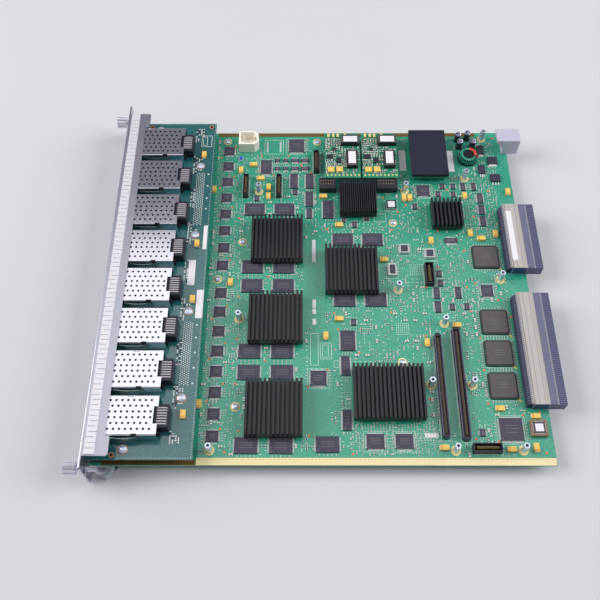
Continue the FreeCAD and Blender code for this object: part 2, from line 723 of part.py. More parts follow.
def backplane_housing(y0, y1):
    """Stepped housing on the board, in front of the socket."""
    front, rear = board_rear - backplane_housing_front, board_rear - backplane_housing_rear
    h, (ledge, drop), bevel = backplane_housing_height, backplane_rib, backplane_housing_bevel
    return prism([(front, y0, 0), (rear, y0, 0), (rear, y0, h - drop), (rear - ledge, y0, h - drop),
                  (rear - ledge, y0, h), (front + bevel, y0, h), (front, y0, h - bevel)], (0, y1 - y0, 0))


def backplane_socket(y0, y1):
    """Socket behind the board's rear edge, with its rows of contact mouths as long slots."""
    rear = board_rear + backplane_socket_overhang
    body = box(board_rear - backplane_housing_rear, rear, y0, y1, 0, backplane_socket_height)
    inset, pitch = backplane_mouth_inset, backplane_mouth_pitch
    rows = int((backplane_socket_height - 2 * backplane_mouth_lift + pitch - backplane_mouth_height) / pitch)
    lifts = [backplane_mouth_lift + pitch * i for i in range(rows)]
    front, height = rear - backplane_mouth_depth, backplane_mouth_height
    return cut(body, [box(front, rear, y0 + inset, y1 - inset, z, z + height) for z in lifts])


def backplane_contacts(y0, y1):
    """Bent contact tails in front of the housing, as one sloping block."""
    rear = board_rear - backplane_housing_front
    front = rear - backplane_contact_depth
    start, end = y0 + backplane_contact_inset, y1 - backplane_contact_inset
    top, (run, fall) = backplane_housing_height - backplane_contact_drop, backplane_contact_slope
    return prism([(front, start, 0), (rear, start, 0), (rear, start, top), (front + run, start, top),
                  (front, start, top - fall)], (0, end - start, 0))


def guide_block():
    """Block at the far rear corner that leads the card onto the backplane's guide pin."""
    front, foot, rear = board_rear - guide_front, board_rear - guide_foot_front, board_rear + guide_overhang
    (y0, y1), h = guide_span, guide_height
    body = prism([(foot, y0, 0), (rear, y0, 0), (rear, y0, h), (front, y0, h), (front, y0, h - guide_lip),
                  (foot, y0, h - guide_lip - guide_slope)], (0, y1 - y0, 0))
    body = body.makeChamfer(guide_mouth_chamfer, [e for e in body.Edges if e.BoundBox.XMin > rear - 0.01])
    bore = rod_x((y0 + y1) / 2, guide_bore_height, guide_bore_radius, rear - guide_bore_depth, rear)
    return cut(body, [bore])


# ---------------------------------------------------------------- the card
def static_parts():
    """Every node that doesn't move, as a name and its solids."""
    parts = {
        "main_board": [main_board()],
        "port_board": [port_board()],
        "faceplate": [faceplate()],
        "emi_gasket": [emi_gasket()],
        "mounting_brackets": brackets(),
        "lever_pins": lever_pins(),
        "upper_cages": [cage(e, row_floors["upper"]) for e in cage_edges],
        "lower_cages": [cage(e, row_floors["lower"]) for e in cage_edges],
        "port_connectors": [port_connector(e, f) for e in cage_edges for f in row_floors.values()],
        "port_leds": leds(),
        "standoffs": standoffs(),
        "board_connectors": board_connectors(),
        "heat_sinks": [heat_sink(p, s, *fins) for p, s in heat_sinks[:-1]]
                      + [heat_sink(*heat_sinks[-1], *module_sink_fins)],
        "heat_sink_chips": [heat_sink_chip(p, s) for p, s in heat_sinks],
        "phy_chips": [block(p, (phy_size, phy_size), 0, chip_height) for p in phy_places],
        "memory_chips": [block(p, memory_size, 0, chip_height) for p in memory_places],
        "bga_chips": [bga(p) for p in bga_places],
        "quad_flat_chips": [block(p, s, 0, quad_flat_height) for p, s in quad_flat_chips],
        "logic_chips": [block(p, s, 0, chip_height) for p, s in logic_places],
        "oscillators": [block(p, s, 0, oscillator_height) for p, s in oscillators],
        "tantalum_capacitors": tantalums(),
        "electrolytic_capacitors": [electrolytic(p) for p in electrolytics],
        "toroid_choke": [toroid()],
        "power_transistors": [block(p, s, 0, transistor_height) for p, s in transistors],
        "power_module_boards": power_module_boards(),
        "power_module_coils": power_module_coils(),
        "converter_board": [converter_board()],
        "converter_baseplate": [converter_plate()],
        "power_header": [power_header()],
        "plcc_socket": [tray(plcc_place, (plcc_size, plcc_size), plcc_height, plcc_wall, plcc_floor)],
        "daughter_sockets": [daughter_socket(*s) for s in sockets],
        "test_headers": [test_header(p, s) for p, s in headers],
        "backplane_housings": [backplane_housing(*s) for s in backplane_spans],
        "backplane_sockets": [backplane_socket(*s) for s in backplane_spans],
        "backplane_contacts": [backplane_contacts(*s) for s in backplane_spans],
        "guide_block": [guide_block()],
    }
    return parts


def moving_parts():
    """Every node that moves."""
    lever = ejector_lever()
    parts = {
        "ejector_lever_near": [lever],
        "ejector_lever_far": [mirrored(lever)],
    }
    for side, y in zip(("near", "far"), screw_places):
        parts[f"captive_screw_{side}"] = [captive_screw(y)]
        parts[f"retaining_ring_{side}"] = [retaining_ring(y)]
    for row, floor in row_floors.items():
        for i, edge in enumerate(cage_edges):
            parts[f"{row}_port_door_{i + 1}"] = [port_door(edge, floor)]
    return parts


def card_origin():
    """Bottom centre of the card's bounding box, in the card frame."""
    rear = board_rear + backplane_socket_overhang
    return V((knob_front + rear) / 2, (plate_ends[0] + plate_ends[1]) / 2, faceplate_bottom)


def export(parts):
    """Write each node to its own file, moved to the card's origin."""
    shift = card_origin() * -1
    for name, solids in parts.items():
        shape = solids[0] if len(solids) == 1 else Part.makeCompound(solids)
        shape.translate(shift)
        shape.exportStep(f"parts/{name}.step")


export({**static_parts(), **moving_parts()})
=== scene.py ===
"""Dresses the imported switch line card: boards, module cages, chips, sinks and connectors.

Lengths are millimetres in the card frame: x runs from the faceplate's front to the backplane,
y across the card from the main board's near edge, and z = 0 is the main board's top face.
Pieces are turned into metres in the row frame only when their mesh is made.
"""
from __future__ import annotations

import json
import logging
import math
from dataclasses import dataclass, field
from enum import Enum
from typing import Any, Iterable, Sequence

import bpy
import numpy as np
from mathutils import Matrix, Vector

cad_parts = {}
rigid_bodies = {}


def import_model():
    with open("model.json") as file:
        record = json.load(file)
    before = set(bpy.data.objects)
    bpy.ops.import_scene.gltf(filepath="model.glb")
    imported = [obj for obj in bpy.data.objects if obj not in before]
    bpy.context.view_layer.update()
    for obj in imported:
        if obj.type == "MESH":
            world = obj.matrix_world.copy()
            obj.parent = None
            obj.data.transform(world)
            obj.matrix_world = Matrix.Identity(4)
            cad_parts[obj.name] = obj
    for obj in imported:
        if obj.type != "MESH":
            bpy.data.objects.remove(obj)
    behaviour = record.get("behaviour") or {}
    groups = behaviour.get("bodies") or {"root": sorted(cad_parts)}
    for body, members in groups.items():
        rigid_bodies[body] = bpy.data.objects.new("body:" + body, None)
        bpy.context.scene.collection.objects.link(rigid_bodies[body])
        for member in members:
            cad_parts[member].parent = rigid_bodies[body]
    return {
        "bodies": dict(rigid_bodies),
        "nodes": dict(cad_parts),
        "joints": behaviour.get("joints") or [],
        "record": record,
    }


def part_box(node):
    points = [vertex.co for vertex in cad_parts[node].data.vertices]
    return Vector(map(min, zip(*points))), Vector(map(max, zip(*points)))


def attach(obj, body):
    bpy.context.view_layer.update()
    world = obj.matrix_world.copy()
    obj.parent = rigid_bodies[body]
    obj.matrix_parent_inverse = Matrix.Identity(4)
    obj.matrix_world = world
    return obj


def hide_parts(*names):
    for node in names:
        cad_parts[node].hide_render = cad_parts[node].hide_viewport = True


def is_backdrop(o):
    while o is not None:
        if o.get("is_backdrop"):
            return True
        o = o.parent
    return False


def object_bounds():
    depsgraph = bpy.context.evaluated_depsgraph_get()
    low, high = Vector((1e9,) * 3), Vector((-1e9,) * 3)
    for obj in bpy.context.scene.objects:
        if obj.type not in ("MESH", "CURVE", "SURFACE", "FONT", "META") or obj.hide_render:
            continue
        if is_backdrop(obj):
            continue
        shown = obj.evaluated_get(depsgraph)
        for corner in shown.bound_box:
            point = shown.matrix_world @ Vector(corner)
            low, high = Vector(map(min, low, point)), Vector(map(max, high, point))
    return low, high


LOG = logging.getLogger("line_card")
Array = np.ndarray
Colour = tuple[float, float, float]
SEAT = 0.02  # how far a laid-on piece sinks into what carries it, millimetres
BOARD_SCREWS = ((99.5, 346.6), (119.5, 221.1), (97.8, 178.9), (119.8, 51.4), (192.3, 346.0), (265.7, 243.2),
                (265.7, 93.2))  # screws that hold the main board, card millimetres


# ------------------------------------------------------------------ the card frame
@dataclass(frozen=True)
class Card:
    """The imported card: where each solid lies, in the card frame."""

    origin: Array
    nodes: dict[str, Any]
    bodies: dict[str, list[str]]

    @classmethod
    def read(cls, frame: dict[str, Any]) -> "Card":
        """Finds the card frame's origin from the faceplate's front and the main board.


        Returns:
            The card with its nodes and bodies.
        """
        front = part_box("faceplate")[0][0]
        board_low, board_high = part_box("main_board")
        origin = np.array([front, board_low[1], board_high[2]])
        return cls(origin, frame["nodes"], frame["record"]["behaviour"]["bodies"])

    def metres(self, points: Array) -> Array:
        """Card-frame millimetres as row-frame metres."""
        return np.asarray(points, float) * 0.001 + self.origin

    def body(self, node: str) -> str:
        """Name of the body that carries a node."""
        return next(name for name, members in self.bodies.items() if node in members)

    def box(self, node: str) -> Array:
        """Lowest and highest corner of a node, as a 2 x 3 array in the card frame."""
        return (np.array(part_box(node), float) - self.origin) * 1000

    def solids(self, node: str) -> Array:
        """Boxes of a node's separate solids.

        Vertices at one place are joined, then every triangle hands the smallest label of its
        corners to all three until nothing changes, so that each solid ends with one label.

        Args:
            node: a CAD node's name.

        Returns:
            A K x 2 x 3 array of low and high corners, sorted by y and then x.
        """
        mesh = self.nodes[node].data
        points = np.empty(len(mesh.vertices) * 3, np.float32)
        mesh.vertices.foreach_get("co", points)
        mesh.calc_loop_triangles()
        corners = np.empty(len(mesh.loop_triangles) * 3, np.int32)
        mesh.loop_triangles.foreach_get("vertices", corners)
        points = (points.reshape(-1, 3) - self.origin) * 1000
        _, ids = np.unique(np.round(points, 3), axis=0, return_inverse=True)
        ids = ids.ravel()
        triangles = ids[corners].reshape(-1, 3)
        labels = np.arange(ids.max() + 1)
        while True:
            before = labels.copy()
            lowest = labels[triangles].min(axis=1)
            np.minimum.at(labels, triangles.ravel(), np.repeat(lowest, 3))
            labels = labels[labels]
            if np.array_equal(before, labels):
                break
        groups, member = np.unique(labels[ids], return_inverse=True)
        low = np.full((len(groups), 3), np.inf)
        high = np.full((len(groups), 3), -np.inf)
        np.minimum.at(low, member.ravel(), points)
        np.maximum.at(high, member.ravel(), points)
        order = np.lexsort((low[:, 0].round(1), low[:, 1].round(1)))
        return np.stack([low, high], axis=1)[order]


# ------------------------------------------------------------------ surfaces
def grid_quads(rows: int, columns: int, closed: bool) -> Array:
    """Quads of a grid of points, row by row; closed joins the last column to the first."""
    r, c = np.meshgrid(np.arange(rows - 1), np.arange(columns if closed else columns - 1), indexing="ij")
    right = (c + 1) % columns
    return np.stack([r * columns + c, r * columns + right, (r + 1) * columns + right, (r + 1) * columns + c],
                    axis=-1).reshape(-1, 4)


@dataclass
class Shape:
    """Points with the quads and triangles between them, in millimetres."""

    points: Array = field(default_factory=lambda: np.zeros((0, 3)))
    quads: Array = field(default_factory=lambda: np.zeros((0, 4), int))
    tris: Array = field(default_factory=lambda: np.zeros((0, 3), int))

    @classmethod
    def grid(cls, points: Array, closed: bool = False) -> "Shape":
        """A surface through an R x C x 3 array of points."""
        rows, columns = points.shape[:2]
        return cls(points.reshape(-1, 3), grid_quads(rows, columns, closed))

    @classmethod
    def loft(cls, rings: Array, cap_start: bool = True, cap_end: bool = True) -> "Shape":
        """Closed rings joined one to the next, with a fan from its middle over each end.

        Args:
            rings: R x P x 3 points, each ring running anticlockwise seen from the last ring.
            cap_start: closes the first ring.
            cap_end: closes the last ring.

        Returns:
            The shape.
        """
        rows, count = rings.shape[:2]
        shape = cls.grid(rings, closed=True)
        ahead = (np.arange(count) + 1) % count
        points, tris = [shape.points], []
        if cap_start:
            tris.append(np.stack([np.full(count, rows * count), ahead, np.arange(count)], axis=1))
            points.append(rings[0].mean(axis=0, keepdims=True))
        if cap_end:
            middle = rows * count + int(cap_start)
            base = (rows - 1) * count
            tris.append(np.stack([np.full(count, middle), base + np.arange(count), base + ahead], axis=1))
            points.append(rings[-1].mean(axis=0, keepdims=True))
        shape.points = np.concatenate(points)
        shape.tris = np.concatenate(tris) if tris else shape.tris
        return shape

    @classmethod
    def join(cls, shapes: Iterable["Shape"]) -> "Shape":
        """Several shapes as one."""
        shapes = list(shapes)
        starts = np.cumsum([0] + [len(s.points) for s in shapes[:-1]])
        return cls(np.concatenate([s.points for s in shapes]),
                   np.concatenate([s.quads + n for s, n in zip(shapes, starts)]),
                   np.concatenate([s.tris + n for s, n in zip(shapes, starts)]))

    def moved(self, offset: Sequence[float]) -> "Shape":
        """The shape shifted by an offset."""
        return Shape(self.points + np.asarray(offset, float), self.quads, self.tris)

    def scattered(self, places: Array, turns: Array | float = 0.0, scales: Array | float = 1.0) -> "Shape":
        """Copies of the shape, each scaled, turned about z and then moved.

        Args:
            places: K x 3 places.
            turns: one angle in radians for each copy, or one for all.
            scales: K x 3 scales, or one for all.

        Returns:
            The copies as one shape.
        """
        places = np.asarray(places, float).reshape(-1, 3)
        count, size = len(places), len(self.points)
        turns = np.broadcast_to(np.asarray(turns, float), (count,))[:, None]
        scaled = self.points[None] * np.broadcast_to(np.asarray(scales, float), (count, 3))[:, None]
        x = scaled[..., 0] * np.cos(turns) - scaled[..., 1] * np.sin(turns)
        y = scaled[..., 0] * np.sin(turns) + scaled[..., 1] * np.cos(turns)
        points = np.stack([x, y, scaled[..., 2]], axis=-1) + places[:, None]
        step = (np.arange(count) * size)[:, None, None]
        return Shape(points.reshape(-1, 3), (self.quads[None] + step).reshape(-1, 4),
                     (self.tris[None] + step).reshape(-1, 3))


def raised(places: Array, height: float = 0.0) -> Array:
    """K x 2 places as K x 3 places at one height."""
    return np.column_stack([places, np.full(len(places), height)])


def centred(count: int, step: float) -> Array:
    """Equal steps about zero."""
    return (np.arange(count) - (count - 1) / 2) * step


def outline(width: float, depth: float, corner: float = 0.0, steps: int = 0) -> Array:
    """Rounded rectangle about the origin, anticlockwise: each corner is an arc of steps + 1 points."""
    signs = np.array([[1, 1], [-1, 1], [-1, -1], [1, -1]], float)
    centres = signs * [width / 2 - corner, depth / 2 - corner]
    angles = np.pi / 2 * (np.arange(4)[:, None] + (np.arange(steps + 1) / max(steps, 1))[None])
    arcs = corner * np.stack([np.cos(angles), np.sin(angles)], axis=-1)
    return (centres[:, None] + arcs).reshape(-1, 2)


def circle(radius: float, count: int) -> Array:
    """Points round a circle about the origin, anticlockwise."""
    angles = np.arange(count) * 2 * np.pi / count
    return radius * np.stack([np.cos(angles), np.sin(angles)], axis=-1)


def stack(rings: Sequence[tuple[Array, float]]) -> Array:
    """Flat rings at their heights, as R x P x 3 points."""
    return np.stack([raised(ring, z) for ring, z in rings])


def block(width: float, depth: float, height: float, bevel: float = 0.0, corner: float = 0.0,
          steps: int = 0) -> Shape:
    """Block on z = 0: an outline carried up, drawn in by the bevel over its last stretch.

    Args:
        width: size along x.
        depth: size along y.
        height: size along z.
        bevel: how far the top's edge is drawn in and down.
        corner: radius of the upright corners.
        steps: stretches in each corner.

    Returns:
        The block.
    """
    full = outline(width, depth, corner, steps)
    if not bevel:
        return Shape.loft(stack([(full, 0.0), (full, height)]))
    inner = outline(width - 2 * bevel, depth - 2 * bevel, max(corner - bevel, 0), steps)
    return Shape.loft(stack([(full, 0.0), (full, height - bevel), (inner, height)]))


def turned(profile: Sequence[tuple[float, float]], count: int) -> Shape:
    """Profile of (radius, z) turned about z; a radius of 0 at an end closes it."""
    radii, heights = np.array(profile, float).T
    rings = circle(1.0, count)[None] * radii[:, None, None]
    return Shape.grid(np.concatenate([rings, np.broadcast_to(heights[:, None, None], (len(radii), count, 1))],
                                     axis=-1), closed=True)


def strip(path: Array, width: float, thickness: float) -> Shape:
    """Flat strip of metal: a rectangle across y carried along a path of (x, z)."""
    x, z = np.asarray(path, float).T
    half = width / 2
    section = ((-half, 0), (half, 0), (half, thickness), (-half, thickness))
    rings = np.stack([np.column_stack([x, np.full_like(x, side), z + lift])
                      for side, lift in section], axis=1)
    return Shape.loft(rings)


def plate_with_hole(width: float, depth: float, radius: float, thickness: float, count: int = 16) -> Shape:
    """One cell of perforated sheet under z = 0.

    The outer outline is a circle's points divided by their larger coordinate, which puts them on a
    square with its corners among them, and scaled to the cell. Rings run from the top outline down
    the hole's wall to the bottom outline, so both faces and the wall are one strip of quads.

    Args:
        width: the cell's size along x.
        depth: its size along y.
        radius: the hole's radius.
        thickness: the sheet's thickness.
        count: points round the hole, a multiple of 8.

    Returns:
        The cell.
    """
    round_hole, direction = circle(radius, count), circle(1.0, count)
    square = direction / np.abs(direction).max(axis=1, keepdims=True) * [width / 2, depth / 2]
    rings = stack([(square, 0.0), (round_hole, 0.0), (round_hole, -thickness), (square, -thickness)])
    return Shape.grid(rings, closed=True)


# ------------------------------------------------------------------ finishes
class Grain(Enum):
    """How a finish varies over the surface: the stretch of its noise along x, y and z."""

    EVEN = (1.0, 1.0, 1.0)
    ALONG_X = (0.06, 1.0, 1.0)
    ALONG_Y = (1.0, 0.06, 1.0)


def linear(colour: Colour) -> tuple[float, float, float, float]:
    """A display colour as the linear colour that a shader takes."""
    c = np.array(colour, float)
    value = np.where(c <= 0.04045, c / 12.92, ((c + 0.055) / 1.055) ** 2.4)
    return (float(value[0]), float(value[1]), float(value[2]), 1.0)


class Tree:
    """A node tree with short ways to add and join nodes."""

    def __init__(self, tree: Any) -> None:
        """Starts from an empty tree."""
        self.tree = tree
        tree.nodes.clear()

    def add(self, kind: str, values: dict[str, Any] | None = None, **settings: Any) -> Any:
        """Adds a node.

        Args:
            kind: the node's type.
            values: what each input takes: another node's socket or a plain value.
            settings: the node's own properties.

        Returns:
            The node.
        """
        node = self.tree.nodes.new(kind)
        for name, value in settings.items():
            setattr(node, name, value)
        for name, value in (values or {}).items():
            socket = node.inputs[name]
            if isinstance(value, bpy.types.NodeSocket):
                self.tree.links.new(value, socket)
            else:
                socket.default_value = value
        return node

    def math(self, operation: str, *values: Any) -> Any:
        """Output of a Math node over its inputs in order."""
        return self.add("ShaderNodeMath", dict(enumerate(values)), operation=operation).outputs[0]

    def mix(self, factor: Any, first: Any, second: Any) -> Any:
        """Colour between two colours."""
        node = self.add("ShaderNodeMix", {0: factor, 6: first, 7: second}, data_type="RGBA")
        return node.outputs[2]


class Effect(Enum):
    """Shader effects that several finishes share, each one node group."""

    MOTTLE = "mottle"
    DOTS = "dots"
    LINES = "fine_lines"


class Effects:
    """Builds each shared effect once."""

    built: dict[Effect, Any] = {}

    @classmethod
    def get(cls, effect: Effect) -> Any:
        """The node group of an effect."""
        if effect not in cls.built:
            cls.built[effect] = getattr(cls, "_" + effect.value)()
        return cls.built[effect]

    @staticmethod
    def _start(name: str, inputs: Sequence[tuple[str, str]],
               outputs: Sequence[tuple[str, str]]) -> tuple[Tree, Any, Any]:
        """A node group with its sockets, and its input and output nodes."""
        group = bpy.data.node_groups.new(name, "ShaderNodeTree")
        for label, kind in inputs:
            group.interface.new_socket(name=label, in_out="INPUT", socket_type="NodeSocket" + kind)
        for label, kind in outputs:
            group.interface.new_socket(name=label, in_out="OUTPUT", socket_type="NodeSocket" + kind)
        tree = Tree(group)
        return tree, tree.add("NodeGroupInput"), tree.add("NodeGroupOutput")

    @classmethod
    def _mottle(cls) -> Any:
        """Cloudy change of brightness: colour times 1 + amount x (noise - 0.5), and the noise as height."""
        tree, enter, leave = cls._start(
            "mottle", [("Vector", "Vector"), ("Color", "Color"), ("Scale", "Float"), ("Amount", "Float")],
            [("Color", "Color"), ("Height", "Float")])
        noise = tree.add("ShaderNodeTexNoise", {"Vector": enter.outputs[0], "Scale": enter.outputs[2],
                                                "Detail": 4.0, "Roughness": 0.55})
        away = tree.math("MULTIPLY", tree.math("SUBTRACT", noise.outputs[0], 0.5), enter.outputs[3])
        gain = tree.add("ShaderNodeVectorMath", {0: enter.outputs[1], 3: tree.math("ADD", away, 1.0)},
                        operation="SCALE")
        tree.tree.links.new(gain.outputs[0], leave.inputs[0])
        tree.tree.links.new(noise.outputs[0], leave.inputs[1])
        return tree.tree

    @classmethod
    def _dots(cls) -> Any:
        """Round dots: 1 within a radius of a cell's point, in the share of cells whose value is low."""
        tree, enter, leave = cls._start(
            "dots", [("Vector", "Vector"), ("Scale", "Float"), ("Radius", "Float"), ("Share", "Float")],
            [("Mask", "Float")])
        cells = tree.add("ShaderNodeTexVoronoi", {"Vector": enter.outputs[0], "Scale": enter.outputs[1],
                                                  "Randomness": 0.8}, voronoi_dimensions="2D")
        inside = tree.math("LESS_THAN", cells.outputs["Distance"], enter.outputs[2])
        value = tree.add("ShaderNodeSeparateColor", {0: cells.outputs["Color"]})
        chosen = tree.math("LESS_THAN", value.outputs[0], enter.outputs[3])
        tree.tree.links.new(tree.math("MULTIPLY", inside, chosen), leave.inputs[0])
        return tree.tree

    @classmethod
    def _fine_lines(cls) -> Any:
        """Bundles of fine lines: each square cell takes bands along x or y, or none, by its value."""
        tree, enter, leave = cls._start(
            "fine_lines", [("Vector", "Vector"), ("Cell", "Float"), ("Pitch", "Float")], [("Mask", "Float")])
        cells = tree.add("ShaderNodeTexVoronoi", {"Vector": enter.outputs[0], "Scale": enter.outputs[1],
                                                  "Randomness": 0.35}, voronoi_dimensions="2D",
                         distance="CHEBYCHEV")
        value = tree.add("ShaderNodeSeparateColor", {0: cells.outputs["Color"]})
        parts = tree.add("ShaderNodeSeparateXYZ", {0: enter.outputs[0]})
        bands = [tree.math("GREATER_THAN", tree.math("SINE", tree.math("MULTIPLY", parts.outputs[i],
                                                                       enter.outputs[2])), 0.35)
                 for i in (0, 1)]
        along_y = tree.math("MULTIPLY", bands[0], tree.math("GREATER_THAN", value.outputs[0], 0.55))
        along_x = tree.math("MULTIPLY", bands[1], tree.math("LESS_THAN", value.outputs[0], 0.3))
        tree.tree.links.new(tree.math("MAXIMUM", along_y, along_x), leave.inputs[0])
        return tree.tree


@dataclass(frozen=True)
class Finish:
    """A plain material: one colour with cloudy variation, grain and a fine bump.

    Args:
        name: the material's name.
        colour: display colour.
        roughness: middle roughness.
        metallic: 1 for bare metal.
        variation: how far the brightness wanders.
        scale: size of the variation, in clouds per metre.
        grain: direction of the variation.
        bump: depth of the bump, in metres.
        coat: clear coat over a gloss finish.
        coat_ior: the coat's index of refraction.
        slot: the record's material slot that it follows, if any; not used.
    """

    name: str
    colour: Colour
    roughness: float = 0.5
    metallic: float = 0.0
    variation: float = 0.12
    scale: float = 260.0
    grain: Grain = Grain.EVEN
    bump: float = 0.00003
    coat: float = 0.0
    slot: str = ""
    coat_ior: float = 1.5

    def material(self) -> Any:
        """The material, made on first use; the prefix keeps it apart from the frame's own."""
        name = "dressed_" + self.name
        found = bpy.data.materials.get(name)
        return found or self.build(bpy.data.materials.new(name))

    def vector(self, tree: Tree) -> Any:
        """Object coordinates, stretched along the grain."""
        place = tree.add("ShaderNodeTexCoord").outputs["Object"]
        return tree.add("ShaderNodeMapping", {"Vector": place, "Scale": self.grain.value}).outputs[0]

    def surface(self, tree: Tree, vector: Any) -> tuple[Any, Any]:
        """Colour and height of the surface."""
        group = tree.add("ShaderNodeGroup", node_tree=Effects.get(Effect.MOTTLE))
        tree.tree.links.new(vector, group.inputs["Vector"])
        group.inputs["Color"].default_value = linear(self.colour)
        group.inputs["Scale"].default_value = self.scale
        group.inputs["Amount"].default_value = self.variation
        return group.outputs["Color"], group.outputs["Height"]

    def build(self, material: Any) -> Any:
        """Fills a new material with its nodes."""
        material.use_nodes = True
        material.diffuse_color = linear(self.colour)
        tree = Tree(material.node_tree)
        colour, height = self.surface(tree, self.vector(tree))
        rough = tree.add("ShaderNodeMapRange", {"Value": height, 3: max(self.roughness - 0.08, 0.02),
                                                4: min(self.roughness + 0.08, 1.0)})
        bump = tree.add("ShaderNodeBump", {"Height": height, "Strength": 0.5, "Distance": self.bump})
        shader = tree.add("ShaderNodeBsdfPrincipled", {
            "Base Color": colour, "Roughness": rough.outputs[0], "Normal": bump.outputs[0],
            "Metallic": self.metallic, "Coat Weight": self.coat, "Coat Roughness": 0.12,
            "Coat IOR": self.coat_ior})
        tree.add("ShaderNodeOutputMaterial", {"Surface": shader.outputs[0]})
        return material


@dataclass(frozen=True)
class SolderMask(Finish):
    """Solder mask over copper: paler trace bundles and pale via dots under a glossy coat."""

    trace: Colour = (0.2, 0.5, 0.4)
    via: Colour = (0.5, 0.7, 0.6)
    via_share: float = 0.4

    def surface(self, tree: Tree, vector: Any) -> tuple[Any, Any]:
        """Mottled mask with the traces and vias mixed in; the height is the mottle's."""
        colour, height = super().surface(tree, vector)
        lines = tree.add("ShaderNodeGroup", node_tree=Effects.get(Effect.LINES))
        tree.tree.links.new(vector, lines.inputs["Vector"])
        lines.inputs["Cell"].default_value = 42.0
        lines.inputs["Pitch"].default_value = 5200.0
        dots = tree.add("ShaderNodeGroup", node_tree=Effects.get(Effect.DOTS))
        tree.tree.links.new(vector, dots.inputs["Vector"])
        for name, value in (("Scale", 420.0), ("Radius", 0.17), ("Share", self.via_share)):
            dots.inputs[name].default_value = value
        traced = tree.mix(tree.math("MULTIPLY", lines.outputs[0], 0.35), colour, linear(self.trace))
        return tree.mix(tree.math("MULTIPLY", dots.outputs[0], 0.6), traced, linear(self.via)), height


